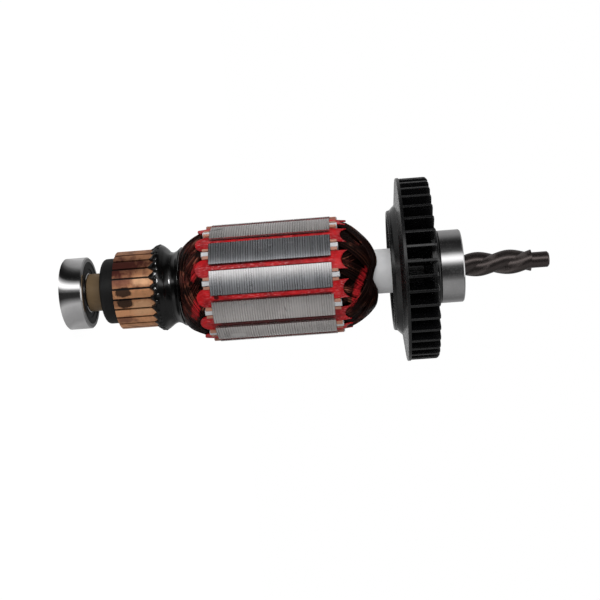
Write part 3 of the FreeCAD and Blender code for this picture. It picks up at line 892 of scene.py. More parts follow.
class Finishes(Enum):
    """The armature's finishes."""

    BEARING = TurnedSteel("bearing_steel", "bearing_steel", (0.66, 0.652, 0.655), 0.13, 1.0,
                          ring_depth=0.0000006)
    SHAFT = TurnedSteel("ground_steel", "ground_steel", (0.105, 0.088, 0.084), 0.27, 0.9,
                        ring_depth=0.0000002, stain_amount=0.15)
    CORE = CoreSteel("core_steel", "core_steel", (0.69, 0.655, 0.64), 0.27, 0.92)
    COPPER = BarCopper("commutator_copper", "commutator_copper", (0.92, 0.40, 0.19), 0.36, 0.75)
    MOULDING = Mottled("black_moulding", "black_moulding", (0.0055, 0.0055, 0.0055), 0.55, specular=0.35)
    VARNISH = Varnish("black_varnish", "black_varnish", (0.0012, 0.0011, 0.0011), 0.2,
                      coat_roughness=0.02, specular=0.22)
    WIRE = Enamel("winding_wire", "winding_wire", (0.038, 0.0066, 0.0048), 0.27, coat=0.08,
                  coat_roughness=0.05, specular=0.45, specular_tint=(0.75, 0.22, 0.16))
    RED = RedFibre("red_fibre", "red_fibre", (0.53, 0.006, 0.010), 0.32, coat=0.12,
                   coat_roughness=0.12, specular=0.15)
    NYLON = Mottled("white_nylon", "white_nylon", (0.90, 0.90, 0.91), 0.42)
    PEGS = Mottled("end_plate_nylon", "white_nylon", (0.53, 0.535, 0.55), 0.42)
    LINER = Mottled("tan_liner", "tan_liner", (0.41, 0.185, 0.125), 0.6)
    PHENOLIC = Mottled("tan_phenolic", "tan_phenolic", (0.185, 0.122, 0.062), 0.5, specular=0.3)
    FAN = MouldedNylon("black_nylon", "black_nylon", (0.0030, 0.0030, 0.0034), 0.25, specular=0.7)
    SEAL = Mottled("seal_rubber", "seal_rubber", (0.008, 0.008, 0.009), 0.5)
    CAGE = Mottled("cage_nylon", "cage_nylon", (0.45, 0.40, 0.28), 0.5)

    def dress(self, piece: bpy.types.Object) -> None:
        """Puts this finish on a piece."""
        self.value.dress(piece)


def carry_over(finish: Finishes, *nodes: str) -> None:
    """Gives CAD nodes a finish in place of their plain material.

    Args:
        finish: The finish.
        *nodes: Names of CAD nodes.
    """
    for node in nodes:
        finish.dress(frame["nodes"][node])
        LOG.info("CAD node %s carries %s", node, finish.value.name)


def tubes(paths: np.ndarray, radius: float, sides: int) -> tuple[np.ndarray, np.ndarray]:
    """Round wires along many paths at once.

    Each path point carries a circle square to the path: its first direction is the part of the outward radius
    that is square to the tangent, and the second is the tangent times the first.

    Args:
        paths: Array (wires, points, 3).
        radius: Wire radius.
        sides: Corners of each circle, an even number.

    Returns:
        Points (wires, points, sides, 3) and the quads between them.
    """
    tangent = np.gradient(paths, axis=1)
    tangent /= np.linalg.norm(tangent, axis=-1, keepdims=True)
    out = paths * np.array([1.0, 1.0, 0.0])
    out /= np.linalg.norm(out, axis=-1, keepdims=True)
    out -= tangent * np.sum(out * tangent, axis=-1, keepdims=True)
    out /= np.linalg.norm(out, axis=-1, keepdims=True)
    side = np.cross(tangent, out)
    turn = np.linspace(0.0, math.tau, sides, endpoint=False)
    circle = (out[..., None, :] * np.cos(turn)[:, None] + side[..., None, :] * np.sin(turn)[:, None]) * radius
    points = paths[..., None, :] + circle
    wires, length = paths.shape[:2]
    one = grid_faces(length, sides, False, True)[:, ::-1]
    pair = np.arange(1, sides - 2, 2)
    cap = np.column_stack([np.zeros_like(pair), pair, pair + 1, pair + 2])
    one = np.concatenate([one, cap[:, ::-1], cap + (length - 1) * sides])
    faces = one[None] + (np.arange(wires) * length * sides)[:, None, None]
    return points, faces.reshape(-1, 4)


@dataclass
class LaminationStack:
    """The slotted core as separate stampings, each with a fine groove at its edge."""

    radius: float = 17.8
    opening: float = 2.15
    tip: float = 0.8
    tooth: float = 2.9
    floor: float = 8.9
    bore: float = 5.72
    lip_step: float = 0.02
    tip_corner: float = 0.35
    floor_corner: float = 0.7
    floor_share: float = 0.4
    narrow_up: float = 0.5
    bore_sides: int = 48
    tip_points: int = 15
    groove: float = 0.028
    full_from: float = 0.22
    full_to: float = 0.78

    def outline(self) -> np.ndarray:
        """Edge of one stamping: for each slot pitch a tooth's tip arc, then the slot's two sides.

        Returns:
            Array (points, 2), in order round the shaft.
        """
        half = math.pi / SLOTS
        lip = self.opening / 2.0
        mouth = math.asin(lip / self.radius)
        top, low = self.radius - self.tip, self.floor + self.floor_corner
        half_tooth = self.tooth / 2.0 / math.cos(half)
        wide, narrow = (x * math.tan(half) - half_tooth for x in (top, self.floor + self.narrow_up))
        tip = polar(self.radius, np.linspace(mouth - 2 * half, -mouth, self.tip_points), 0.0)[:, :2]
        side = np.array([
            [top + self.lip_step, -lip], [top, -wide + self.tip_corner], [top - self.tip_corner, -wide],
            [low, -narrow], [self.floor, -narrow * self.floor_share],
        ])
        return in_slots(np.concatenate([tip, side, side[::-1] * np.array([1.0, -1.0])])).reshape(-1, 2)

    def build(self) -> bpy.types.Object:
        """Stacks the outline: each sheet has a pulled-in row at its start, then two rows at full size. The
        last row is pulled in too, and a bore joins the two ends.

        Returns:
            The piece.
        """
        low, high = mm_box("lamination_stack")
        sheets = Finishes.CORE.value.sheets
        outline = self.outline()
        pulled = outline * (1.0 - self.groove / np.linalg.norm(outline, axis=-1, keepdims=True))
        starts = np.arange(sheets)[:, None] + np.array([0.0, self.full_from, self.full_to])
        z = np.append(low[2] + (high[2] - low[2]) / sheets * starts, high[2])
        plan = np.concatenate([np.tile([pulled, outline, outline], (sheets, 1, 1)), pulled[None]])
        rows, columns = plan.shape[:2]
        wall = np.concatenate([plan, np.broadcast_to(z[:, None, None], (rows, columns, 1))], axis=-1)
        ring = np.linspace(0.0, -math.tau, self.bore_sides, endpoint=False)
        bore = polar(self.bore, ring[None, :], np.array([[low[2]], [high[2]]]))
        flat = np.concatenate([pulled, bore[0, :, :2]])
        loops = [[Vector((x, y, 0.0)) for x, y in loop] for loop in (pulled, bore[0, :, :2])]
        cap = np.array(tessellate_polygon(loops))
        a, b, c = (flat[cap[:, k]] for k in range(3))
        cross = (b[:, 0] - a[:, 0]) * (c[:, 1] - a[:, 1]) - (b[:, 1] - a[:, 1]) * (c[:, 0] - a[:, 0])
        cap[cross < 0] = cap[cross < 0][:, ::-1]
        rim, inner = np.arange(columns), np.arange(self.bore_sides) + rows * columns
        first = np.concatenate([rim, inner])
        last = np.concatenate([rim + (rows - 1) * columns, inner + self.bore_sides])
        shell = np.concatenate([grid_faces(rows, columns, False, True),
                                grid_faces(2, self.bore_sides, False, True) + rows * columns])
        parts = MeshParts()
        parts.add(np.concatenate([wall.reshape(-1, 3), bore.reshape(-1, 3)]),
                  shell[:, ::-1], first[cap[:, ::-1]], last[cap])
        piece = parts.to_object("core_sheets", smooth=False)
        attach(piece, "armature")
        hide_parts("lamination_stack")
        Finishes.CORE.dress(piece)
        return piece


@dataclass(frozen=True)
class Dent:
    """A place where a winding head is pressed in: its angle and place along the crown, each with a width."""

    angle_deg: float
    width_deg: float
    depth: float
    place: float
    width: float

    def at(self, theta: np.ndarray, a: np.ndarray) -> np.ndarray:
        """Depth at a place, as exp(-x^2 - y^2) of the two distances over their widths.

        Args:
            theta: Angle.
            a: Place along the crown.

        Returns:
            The depth.
        """
        off = (theta - math.radians(self.angle_deg) + math.pi) % math.tau - math.pi
        x, y = off / math.radians(self.width_deg), (a - self.place) / self.width
        return self.depth * np.exp(-x ** 2 - y ** 2)


@dataclass
class WindingHead:
    """One end of the winding: bands of wire that run from slot to slot over a rounded crown.

    The crown is a superellipse of revolution: with s from 0 at the core to 1 at the far end along the shaft
    and q from 1 to 0 in radius, s^n + q^m = 1. Each band lies over the ones that were wound before it.
    """

    core_z: float
    end_z: float
    base_r: float
    end_r: float
    power_z: float
    power_r: float
    last_deg: float
    sweep_deg: float = 120.0
    dents: tuple[Dent, ...] = ()
    bands: int = 12
    strands: int = 15
    wire_r: float = 0.20
    spacing: float = 0.35
    sides: int = 6
    steps: int = 36
    low_lift: float = -1.5
    high_lift: float = 0.45
    crown_top: float = 0.86
    top_noise: float = 0.08
    lane_noise: float = 0.09
    lane_turn: float = 0.05
    turn_noise_deg: float = 3.0
    climb_noise: float = 0.012
    ease: float = 0.03
    heap: float = 0.35
    wave: float = 0.10
    chord_to_arc: float = 1.15
    inset: float = 1.3
    wall: float = 0.6
    ripples: tuple[tuple[float, int, float], ...] = ((0.3, 12, 0.0), (0.25, 5, 1.0))
    body_rows: int = 40
    body_columns: int = 120
    # The body is dark where it shows between the wires: painted shade in the gaps.
    body_painted_shade: float = 0.1

    def crown(self, a: np.ndarray) -> tuple[np.ndarray, np.ndarray]:
        """The crown's curve, from the angle a pi/2: s = sin^(2/n) and q = cos^(2/m).

        Args:
            a: Parameter, 0 at the core and 1 at the far end.

        Returns:
            Radius and height.
        """
        a = np.clip(a, 0.0, 1.0) * math.pi / 2.0
        along = np.sin(a) ** (2.0 / self.power_z)
        inward = np.cos(a) ** (2.0 / self.power_r)
        radius = self.end_r + (self.base_r - self.end_r) * inward
        return radius, self.core_z + (self.end_z - self.core_z) * along

    def paths(self, seed: int) -> tuple[np.ndarray, np.ndarray]:
        """Centre lines of all strands.

        A band leaves one slot, climbs the crown as sin(pi t)^0.75 while it turns by the sweep, and comes down
        into another. Strands lie side by side in it, the inner ones on shorter and lower arcs.

        Args:
            seed: For the small differences between strands.

        Returns:
            Paths (strands, steps, 3) and one shade for each strand.
        """
        draw = np.random.default_rng(seed)
        t = np.linspace(0.0, 1.0, self.steps)[None, None, :]
        band = np.arange(self.bands)[:, None, None]
        strand = (np.arange(self.strands) - (self.strands - 1) / 2.0)[None, :, None]
        wobble = draw.normal(0.0, 1.0, (self.bands, self.strands, 4))[..., None]
        lane = strand * self.spacing + wobble[..., 0, :] * self.lane_noise
        hill = np.sin(math.pi * t)
        centre = math.radians(self.last_deg) + (self.bands - 1 - band) * math.tau / self.bands
        centre = centre + math.radians(self.turn_noise_deg) * draw.normal(0.0, 1.0, (self.bands, 1, 1))
        sweep = math.radians(self.sweep_deg) * (t - 0.5 - self.ease * np.sin(math.tau * t))
        length = self.chord_to_arc * math.hypot(self.base_r - self.end_r, self.end_z - self.core_z)
        top = self.crown_top - self.top_noise * draw.random((self.bands, 1, 1))
        a = top * hill ** 0.75 - lane / length * hill ** 0.5 + self.climb_noise * wobble[..., 1, :] * hill
        theta = centre - sweep - lane * self.lane_turn * np.cos(math.pi * t)
        radius, z = self.crown(a)
        lift = self.low_lift + (self.high_lift - self.low_lift) * band / (self.bands - 1.0)
        from_middle = np.abs(strand) / self.strands * 2.0
        wave = self.wave * np.sin(4.0 * t * math.pi + wobble[..., 2, :] * 2.0)
        lift = lift * hill ** 0.5 - self.heap * from_middle ** 2 * hill + wave
        tilt = np.clip(a, 0.0, 1.0) * math.pi / 2.0
        lift = lift - sum((dent.at(theta, a) for dent in self.dents), np.zeros_like(a))
        radius = radius + lift * np.cos(tilt)
        z = z + math.copysign(1.0, self.end_z - self.core_z) * lift * np.sin(tilt)
        shade = draw.random((self.bands, self.strands))
        return polar(radius, theta, z).reshape(-1, self.steps, 3), shade.ravel()

    def base(self, parts: MeshParts) -> None:
        """Adds the closed and rippled body under the wires, a little inside the crown.

        Args:
            parts: The mesh to add to.
        """
        a = np.linspace(0.0, 1.0, self.body_rows)
        radius, z = self.crown(a)
        way = math.copysign(1.0, self.end_z - self.core_z)
        bore = self.end_r - self.inset - self.wall
        radius = np.concatenate([[bore], radius - self.inset, [bore]])
        z = np.concatenate([[self.core_z], z - way * self.inset * a ** 2, [self.end_z - way * self.inset]])
        theta = np.linspace(0.0, math.tau, self.body_columns, endpoint=False)
        ripple = sum(deep * np.sin(count * theta + shift) for deep, count, shift in self.ripples)
        swell = np.pad(np.sin(math.pi * a), 1)
        flat = np.zeros((len(a), len(theta)))
        pressed = sum((dent.at(theta[None, :], a[:, None]) for dent in self.dents), flat)
        pressed = np.pad(pressed, ((1, 1), (0, 0)), mode="edge")
        tilt = np.pad(a, 1, mode="edge")[:, None] * math.pi / 2.0
        radius = radius[:, None] + swell[:, None] * ripple[None, :] - pressed * np.cos(tilt)
        grid = polar(radius, theta[None, :], z[:, None] - way * pressed * np.sin(tilt))
        # Dark body under the wires: painted shade in the gaps between them.
        parts.add_torus(grid, self.end_z > self.core_z, self.body_painted_shade)

    def add_to(self, parts: MeshParts, seed: int) -> None:
        """Adds the body and the wires to the winding's mesh.

        Args:
            parts: The mesh to add to.
            seed: For the wires.
        """
        self.base(parts)
        paths, shade = self.paths(seed)
        points, faces = tubes(paths, self.wire_r, self.sides)
        parts.add(points, faces, shade=np.repeat(shade, self.steps * self.sides))


@dataclass
class Winding:
    """Both winding heads and the coil sides that pass through the slots."""

    rear_dents: tuple[Dent, ...] = (Dent(-90.0, 55.0, 0.8, 1.0, 0.4), Dent(60.0, 30.0, 0.6, 0.8, 0.3))
    front_dents: tuple[Dent, ...] = (
        Dent(-79.0, 21.0, 1.75, 1.0, 0.36), Dent(180.0, 48.0, 1.35, 0.52, 0.34),
        Dent(0.0, 40.0, 0.6, 0.5, 0.3), Dent(62.0, 20.0, 1.4, 0.95, 0.3),
    )
    plate_gap: float = 0.1
    side_wires: int = 11
    side_wire_r: float = 0.21
    side_half_width: float = 2.0
    side_r: float = 15.75
    side_bow: float = 0.035
    side_steps: int = 6
    side_reach: float = 0.6

    def build(self) -> bpy.types.Object:
        """Makes the winding as one piece.

        Returns:
            The piece.
        """
        wind_low, wind_high = mm_box("winding")
        rear_z = mm_box("rear_end_insulator")[0][2] - self.plate_gap
        front_z = mm_box("front_end_insulator")[1][2] + self.plate_gap
        heads = [
            WindingHead(rear_z, wind_low[2] + 0.4, base_r=15.9, end_r=11.3, power_z=1.0, power_r=2.0,
                        last_deg=-100.0, sweep_deg=125.0, dents=self.rear_dents),
            WindingHead(front_z, wind_high[2] - 0.3, base_r=16.2, end_r=7.3, power_z=1.8, power_r=1.8,
                        last_deg=-102.0, sweep_deg=118.0, dents=self.front_dents),
        ]
        parts = MeshParts()
        for seed, head in enumerate(heads):
            head.add_to(parts, SEED + seed)
        self.coil_sides(parts, rear_z - self.side_reach, front_z + self.side_reach)
        piece = parts.to_object("winding_wires")
        shade = piece.data.attributes.new("shade", "FLOAT", "POINT")
        shade.data.foreach_set("value", np.concatenate(parts.shades).astype(np.float32))
        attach(piece, "armature")
        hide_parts("winding")
        Finishes.WIRE.dress(piece)
        return piece

    def coil_sides(self, parts: MeshParts, z_start: float, z_end: float) -> None:
        """Adds a layer of straight wires under each strip.

        Args:
            parts: The mesh to add to.
            z_start: Height where the wires start.
            z_end: Height where they end.
        """
        draw = np.random.default_rng(SEED + 9)
        y = np.linspace(-self.side_half_width, self.side_half_width, self.side_wires)[:, None]
        z = np.linspace(z_start, z_end, self.side_steps)[None, :]
        wires = in_slots(np.stack(np.broadcast_arrays(self.side_r - self.side_bow * y ** 2, y, z), axis=-1))
        paths = wires.reshape(-1, self.side_steps, 3)
        points, faces = tubes(paths, self.side_wire_r, WindingHead.sides)
        shade = np.repeat(draw.random(len(paths)), self.side_steps * WindingHead.sides)
        parts.add(points, faces, shade=shade)


@dataclass
class SlotStrips:
    """The red strips: crowned between the teeth, with a round tongue at the rear and a hollow front edge."""

    radius: float = 16.9
    width: float = 5.5
    thick: float = 0.34
    rear_out: float = 4.3
    front_out: float = 4.8
    notch: float = 1.9
    rear_dip: float = 0.35
    front_dip: float = 0.55
    crown: float = 0.24
    crown_width: float = 0.9
    wave: float = 0.10
    fade: float = 0.8
    end_noise: float = 0.12
    columns: int = 17
    runs: tuple[tuple[float, float, int], ...] = ((0.0, 0.13, 14), (0.15, 0.85, 12), (0.87, 1.0, 14))

    def build(self) -> bpy.types.Object:
        """Each strip is a grid in length u and width v. It starts on a half circle, ends on a hollow arc, and
        dips inwards towards both ends. Between the teeth it is crowned as exp(-y^2).

        Returns:
            The piece.
        """
        low, high = mm_box("lamination_stack")
        draw = np.random.default_rng(SEED + 3)
        u = np.concatenate([np.linspace(*run) for run in self.runs])[:, None]
        v = np.sin(np.linspace(-0.5, 0.5, self.columns) * math.pi)[None, :]
        half = self.width / 2.0
        bow = np.sqrt(np.clip(1.0 - v ** 2, 0.0, 1.0))
        one = np.arange(self.columns - 1)
        back = 2 * self.columns - 1 - one
        cap = np.column_stack([one, one + 1, back - 1, back])
        last = (len(u) - 1) * 2 * self.columns
        faces = np.concatenate([grid_faces(len(u), 2 * self.columns, False, True), cap, cap[:, ::-1] + last])
        parts = MeshParts()
        for slot in range(SLOTS):
            start = low[2] - self.rear_out + half * (1.0 - bow)
            end = high[2] + self.front_out - self.notch * bow ** 1.5 + draw.normal(0.0, self.end_noise) * v
            z = start + u * (end - start)
            y = half * v + 0.0 * z
            rear = smooth_step((low[2] - z) / self.rear_out)
            front = smooth_step((z - high[2]) / self.front_out)
            wave = self.wave * np.sin(3.1 * v + draw.random() * 6.0) * (rear + front)
            crown = self.crown * np.exp(-(y / self.crown_width) ** 2)
            crown = crown * (1.0 - self.fade * rear) * (1.0 - self.fade * front)
            top = self.radius - self.rear_dip * rear - self.front_dip * front + crown + wave
            skins = [np.stack([np.sqrt((top - t) ** 2 - y ** 2), y, z], axis=-1) for t in (0.0, self.thick)]
            ring = np.concatenate([skins[0], skins[1][:, ::-1]], axis=1)
            parts.add(in_slots(ring)[slot], faces[:, ::-1])
        piece = parts.to_object("red_strips")
        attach(piece, "armature")
        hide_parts("slot_wedges")
        Finishes.RED.dress(piece)
        return piece


@dataclass(frozen=True)
class Bead:
    """A bead of varnish: its height, its place s up the neck, half its length, and half its width in bars."""

    height: float
    place: float
    half_long: float
    half_wide: float

    def along(self, s: np.ndarray) -> np.ndarray:
        """Height along the neck, as exp(-x^2) of the distance over half the length."""
        return self.height * np.exp(-((s - self.place) / self.half_long) ** 2)


@dataclass
class VarnishedNeck:
    """Black varnish over the hooks and leads: knobs at the hooks, points on the bars, slanting ridges."""

    bar_r: float = 12.14
    columns: int = 480
    rows: int = 64
    profile: Stops = (
        (-1.2, 12.3), (0.0, 12.5), (0.55, 12.72), (1.2, 12.95), (2.1, 12.95), (3.0, 12.35), (4.2, 11.45),
        (5.4, 11.05), (6.4, 11.35), (7.8, 12.35),
    )
    start: float = 1.3
    edge: float = 1.75
    edge_round: float = 0.10
    edge_sunk: float = 0.3
    point: float = 1.3
    point_noise: float = 0.25
    point_half_wide: float = 0.36
    knob: Bead = Bead(0.36, 0.55, 0.7, 0.44)
    knob_noise: float = 0.07
    drop: Bead = Bead(0.26, 1.55, 0.34, 0.09)
    drop_shift: tuple[float, float] = (0.035, 0.18)
    slack: float = 0.45
    slack_from: float = 3.2
    slack_over: float = 1.4
    ridges: tuple[tuple[float, int, float], ...] = ((0.045, 13, 0.5), (0.072, 5, -0.4), (0.054, 3, 1.0))
    ridges_from: float = 2.4
    ridges_over: float = 1.2
    inner_r: tuple[float, float, float] = (10.3, 10.2, 12.0)
    inner_up: tuple[float, float] = (6.0, 2.2)

    def beads(self, place: np.ndarray, s: np.ndarray, draw: np.random.Generator) -> np.ndarray:
        """Height of the beads: a knob on each bar, round across it as sqrt(1 - x^2), and two small drops.

        Args:
            place: Angle counted in bars.
            s: Place up the neck.
            draw: For each bead's own size or shift.

        Returns:
            The height that the beads add.
        """
        size = 1.0 + self.knob_noise / self.knob.height * draw.normal(0.0, 1.0, BARS)
        across = (place % 1.0 - 0.5) / self.knob.half_wide
        knob = np.sqrt(np.clip(1.0 - across ** 2, 0.0, 1.0)) * self.knob.along(s)
        half = np.floor(place * 2.0).astype(int) % (2 * BARS)
        shift_round, shift_along = (draw.normal(0.0, by, 2 * BARS)[half] for by in self.drop_shift)
        across = (place % 0.5 - 0.25 - shift_round) / self.drop.half_wide
        drop = np.exp(-across ** 2) * self.drop.along(s - shift_along)
        return size[np.floor(place).astype(int) % BARS] * knob + drop

    def build(self) -> bpy.types.Object:
        """A grid of angle by length. Radius is a profile through the stations, plus a knob for each hook, two
        small drops for each bar next to it, and slanting lead ridges that fade towards the hooks.

        Returns:
            The piece.
        """
        low, high = mm_box("resin_coating")
        theta = np.linspace(0.0, math.tau, self.columns, endpoint=False)[None, :]
        v = np.linspace(0.0, 1.0, self.rows)[:, None]
        draw = np.random.default_rng(SEED + 5)
        place = (theta - math.radians(BAR_TURN_DEG)) / (math.tau / BARS)
        reach = self.point + self.point_noise * draw.normal(0.0, 1.0, BARS)
        point = np.clip(1.0 - np.abs(place % 1.0 - 0.5) / self.point_half_wide, 0.0, 1.0) ** 0.6
        point = point * reach[np.floor(place).astype(int) % BARS]
        z = (low[2] + self.edge - point) * (1.0 - v) + high[2] * v
        s = z - (low[2] + self.start)
        radius = smooth_profile(s, *np.array(self.profile).T) + self.beads(place, s, draw)
        shifts = draw.random(len(self.ridges)) * math.tau
        ridges = sum(deep * np.sin(theta * count + slant * s + shift)
                     for (deep, count, slant), shift in zip(self.ridges, shifts))
        slack = self.slack * np.clip(-np.cos(theta), 0.0, 1.0) ** 2
        radius = radius + ridges * smooth_step((s - self.ridges_from) / self.ridges_over)
        radius = radius - slack * smooth_step((s - self.slack_from) / self.slack_over)
        radius = self.bar_r + (radius - self.bar_r) * np.sqrt(smooth_step(v / self.edge_round))
        radius = np.where(v <= 0.0, self.bar_r - self.edge_sunk, radius)
        inner_z = np.array([high[2], *(low[2] + up for up in self.inner_up)])
        inside = polar(np.array(self.inner_r)[:, None], theta, inner_z[:, None])
        parts = MeshParts()
        parts.add_torus(np.concatenate([polar(radius, theta, z), inside]), True)
        piece = parts.to_object("varnished_neck")
        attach(piece, "armature")
        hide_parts("resin_coating")
        Finishes.VARNISH.dress(piece)
        return piece


@dataclass
class Commutator:
    """Copper bars and their black moulding."""

    def build(self) -> None:
        """Dresses the CAD bars and moulding."""
        carry_over(Finishes.COPPER, "commutator_bars")
        carry_over(Finishes.MOULDING, "commutator_moulding")


@dataclass
class BallBearing:
    """One sealed bearing."""

    end: str

    def build(self) -> None:
        """Dresses the six CAD parts."""
        for part, finish in (("outer_ring", Finishes.BEARING), ("inner_ring", Finishes.BEARING),
                             ("balls", Finishes.BEARING), ("cage", Finishes.CAGE),
                             ("inboard_seal", Finishes.SEAL), ("outboard_seal", Finishes.SEAL)):
            carry_over(finish, f"{self.end}_bearing_{part}")


def turned(a: Vector, b: Vector, degrees: float) -> tuple[Vector, Vector]:
    """Two square vectors turned in their plane: a cos + b sin, and b cos - a sin."""
    cos, sin = math.cos(math.radians(degrees)), math.sin(math.radians(degrees))
    return a * cos + b * sin, b * cos - a * sin


@dataclass(frozen=True)
class Lamp:
    """A soft area lamp that faces the shaft.

    Its angle is from the camera's side, positive towards +X, in degrees. Its distance, width round the shaft,
    length along it and the height of its centre are in metres.
    """

    name: str
    angle_deg: float
    distance: float
    size: tuple[float, float]
    watts: float
    height: float = 0.08
    shape: str = "RECTANGLE"

    def build(self) -> bpy.types.Object:
        """Adds the lamp, unseen in reflections, where the surround card stands for it.

        Returns:
            The lamp.
        """
        data = bpy.data.lights.new(self.name, "AREA")
        data.shape = self.shape
        data.size, data.size_y = self.size
        data.energy = self.watts
        lamp = bpy.data.objects.new(self.name, data)
        lamp.visible_glossy = False
        angle = math.radians(self.angle_deg)
        out = Vector((math.sin(angle), -math.cos(angle), 0.0))
        side = Vector((math.cos(angle), math.sin(angle), 0.0))
        turn = Matrix((side, Vector((0, 0, 1)), out)).transposed().to_4x4()
        lamp.matrix_world = Matrix.Translation(out * self.distance + Vector((0, 0, self.height))) @ turn
        bpy.context.scene.collection.objects.link(lamp)
        return lamp


@dataclass
class Studio:
    """Camera at the photo's viewing angle, soft lamps, white surroundings and the tones of reflections.

    Lengths are in millimetres, apart from table_reach and card_z, which are in metres.
    """

    distance: float = 312.47
    height: float = 90.06
    roll_deg: float = -4.243
    yaw_deg: float = -3.403
    pitch_deg: float = -1.268
    focal_px: float = 1024.07
    frame_px: float = 600.0
    sensor: float = 36.0
    tone_top: float = 1.8
    key: Lamp = Lamp("key", -20.0, 0.75, (0.5, 1.2), 5.6)
    overhead: Lamp = Lamp("overhead", -90.0, 0.9, (0.6, 1.2), 3.0)
    glint_lamp: Lamp = Lamp("glint", -21.0, 0.31, (0.09, 0.07), 0.9, 0.10, "ELLIPSE")
    ambient: float = 0.45
    floor_half: float = 450.0
    floor_drop: float = 0.02
    floor_matt: float = 0.9
    floor_glow: float = 1.10
    floor_glow_share: float = 0.86
    card_columns: int = 97
    card_rows: int = 4
    card_z: Range = (-0.02, 3.0)
    table_reach: Range = (0.04, 0.10)
    tones: Stops = (
        (-180, 0.10), (-168, 0.42), (-144, 0.36), (-120, 0.30), (-108, 0.21), (-96, 0.08), (-84, 0.02),
        (-62, 0.03), (-46, 0.09), (-38, 0.55), (-31, 1.35), (-24, 1.75), (-16, 1.3), (-9, 0.5), (-1, 0.10),
        (10, 0.035), (26, 0.04), (38, 0.14), (48, 0.30), (72, 0.31), (96, 0.27), (108, 0.20), (124, 0.17),
        (140, 0.25), (166, 0.35), (180, 0.10),
    )
    near_tones: Stops = (
        (-180, 0.3), (-118, 0.66), (-101, 0.51), (-85, 0.40), (-76, 0.31), (-68, 0.13), (-59, 0.035),
        (-51, 0.015), (-42, 0.012), (-35, 0.03), (-28, 0.6), (-21, 1.8), (-15, 1.6), (-10, 0.3), (-3, 0.03),
        (9, 0.03), (17, 0.26), (25, 0.58), (34, 0.50), (51, 0.41), (76, 0.36), (93, 0.46), (180, 0.3),
    )

    def camera(self) -> None:
        """Sets the camera: it looks along +Y with +Z to the right, then yaw, pitch and roll turn it."""
        right, up, ahead = Vector((0, 0, 1)), Vector((-1, 0, 0)), Vector((0, 1, 0))
        ahead, right = turned(ahead, right, self.yaw_deg)
        ahead, up = turned(ahead, up, self.pitch_deg)
        right, up = turned(right, up, self.roll_deg)
        data = bpy.data.cameras.new("camera")
        data.sensor_width = self.sensor
        data.lens = self.focal_px / self.frame_px * self.sensor
        data.clip_start, data.clip_end = 0.01, 20.0
        camera = bpy.data.objects.new("camera", data)
        place = Matrix.Translation((0.0, -self.distance * MM, self.height * MM))
        turn = Matrix((right, up, -ahead)).transposed().to_4x4()
        camera.matrix_world = place @ turn
        bpy.context.scene.collection.objects.link(camera)
        bpy.context.scene.camera = camera

    def glint(self, receiver: bpy.types.Object) -> None:
        """Adds the small bright lamp that only the wet varnish reflects.

        Args:
            receiver: The varnished piece.
        """
        lamp = self.glint_lamp.build()
        lamp.visible_glossy, lamp.visible_diffuse, lamp.visible_camera = True, False, False
        group = bpy.data.collections.new("glint_receivers")
        group.objects.link(receiver)
        lamp.light_linking.receiver_collection = group

    def tone(self, graph: Graph, tones: Stops) -> Value:
        """Tone of the studio in reflections, from stops of the angle from the camera's side and the tone."""
        x, y, _ = graph.xyz()
        return graph.by_angle(graph.math("ARCTAN2", x, y * -1.0), tones, self.tone_top) * self.tone_top

    def surround(self) -> None:
        """Adds the card that only reflections see, 1 m from the shaft: soft box, dark gaps, grey walls."""
        angle = np.radians(np.linspace(-180.0, 180.0, self.card_columns))[:, None]
        z = np.linspace(*self.card_z, self.card_rows)[None, :]
        grid = np.stack(np.broadcast_arrays(np.sin(angle), -np.cos(angle), z), axis=-1) / MM
        parts = MeshParts()
        parts.add(grid, grid_faces(*grid.shape[:2], False, False))
        card = parts.to_object("surround_card")
        card.visible_camera, card.visible_shadow, card.visible_diffuse = False, False, False
        material, graph = new_material("surround_card")
        graph.add("OutputMaterial", {0: graph.add("Emission", {0: WHITE, 1: self.tone(graph, self.tones)})})
        card.data.materials.append(material)

    def world(self) -> None:
        """White backdrop for camera and reflections, and an even soft light on everything else."""
        world = bpy.data.worlds.new("studio")
        world.use_nodes = True
        graph = Graph(world.node_tree)
        path = graph.add("LightPath")
        camera, glossy, through = (Value(graph, path.outputs[f"Is {kind} Ray"])
                                   for kind in ("Camera", "Glossy", "Transmission"))
        strength = camera.larger(glossy.larger(through)).remap(0.0, 1.0, self.ambient, 1.0)
        graph.add("OutputWorld", {0: graph.add("Background", {0: WHITE, 1: strength})})
        bpy.context.scene.world = world

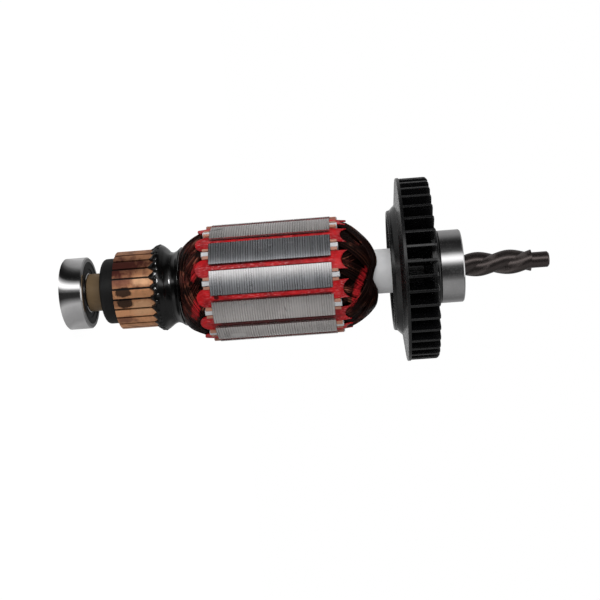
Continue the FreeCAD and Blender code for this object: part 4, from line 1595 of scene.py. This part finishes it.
    def floor(self) -> None:
        """A pale floor under the standing armature: white to the camera with the shadow on it, and a grey
        that fades towards -X in reflections, as the table is in the photo."""
        half = self.floor_half
        corners = np.array([[x, y, -self.floor_drop] for x, y in
                            ((-half, -half), (half, -half), (half, half), (-half, half))])
        parts = MeshParts()
        parts.add(corners, np.array([[0, 1, 2, 3]]))
        floor = parts.to_object("floor")
        material, graph = new_material("floor_white")
        path = graph.add("LightPath")
        away = graph.value("VectorMath", {0: graph.coords()}, "Value", operation="LENGTH")
        far = away.remap(*self.table_reach)
        table = self.tone(graph, self.tones) * far + self.tone(graph, self.near_tones) * (1.0 - far)
        matt = graph.add("BsdfDiffuse", {0: (*[self.floor_matt] * 3, 1.0)})
        white = graph.add("Emission", {0: WHITE, 1: self.floor_glow})
        grey = graph.add("Emission", {0: WHITE, 1: table})
        seen = Value(graph, path.outputs["Is Camera Ray"]) * self.floor_glow_share
        both = graph.add("MixShader", {0: seen, 1: matt, 2: white})
        shone = graph.add("MixShader", {0: Value(graph, path.outputs["Is Glossy Ray"]), 1: both, 2: grey})
        graph.add("OutputMaterial", {0: shone})
        floor.data.materials.append(material)

    def build(self) -> None:
        """Sets up everything apart from the glint, which needs its piece."""
        self.camera()
        self.floor()
        self.world()
        self.key.build()
        self.overhead.build()
        self.surround()
        bpy.context.scene.view_settings.view_transform = "Standard"


def main() -> None:
    """Builds the armature piece by piece."""
    logging.basicConfig(level=logging.INFO, format="%(message)s")
    studio = Studio()
    studio.build()
    for builder in (LaminationStack(), Winding(), SlotStrips(), VarnishedNeck()):
        piece = builder.build()
        LOG.info("%s: %d faces", piece.name, len(piece.data.polygons))
    studio.glint(piece)
    Commutator().build()
    for end in ("rear", "front"):
        BallBearing(end).build()
    carry_over(Finishes.SHAFT, "shaft")
    carry_over(Finishes.PHENOLIC, "rear_spacer")
    carry_over(Finishes.NYLON, "core_tube", "front_sleeve")
    carry_over(Finishes.PEGS, "rear_end_insulator", "front_end_insulator")
    carry_over(Finishes.LINER, "slot_liners")
    carry_over(Finishes.WIRE, "lead_wires")
    carry_over(Finishes.FAN, "fan")


if __name__ == "__main__":
    main()
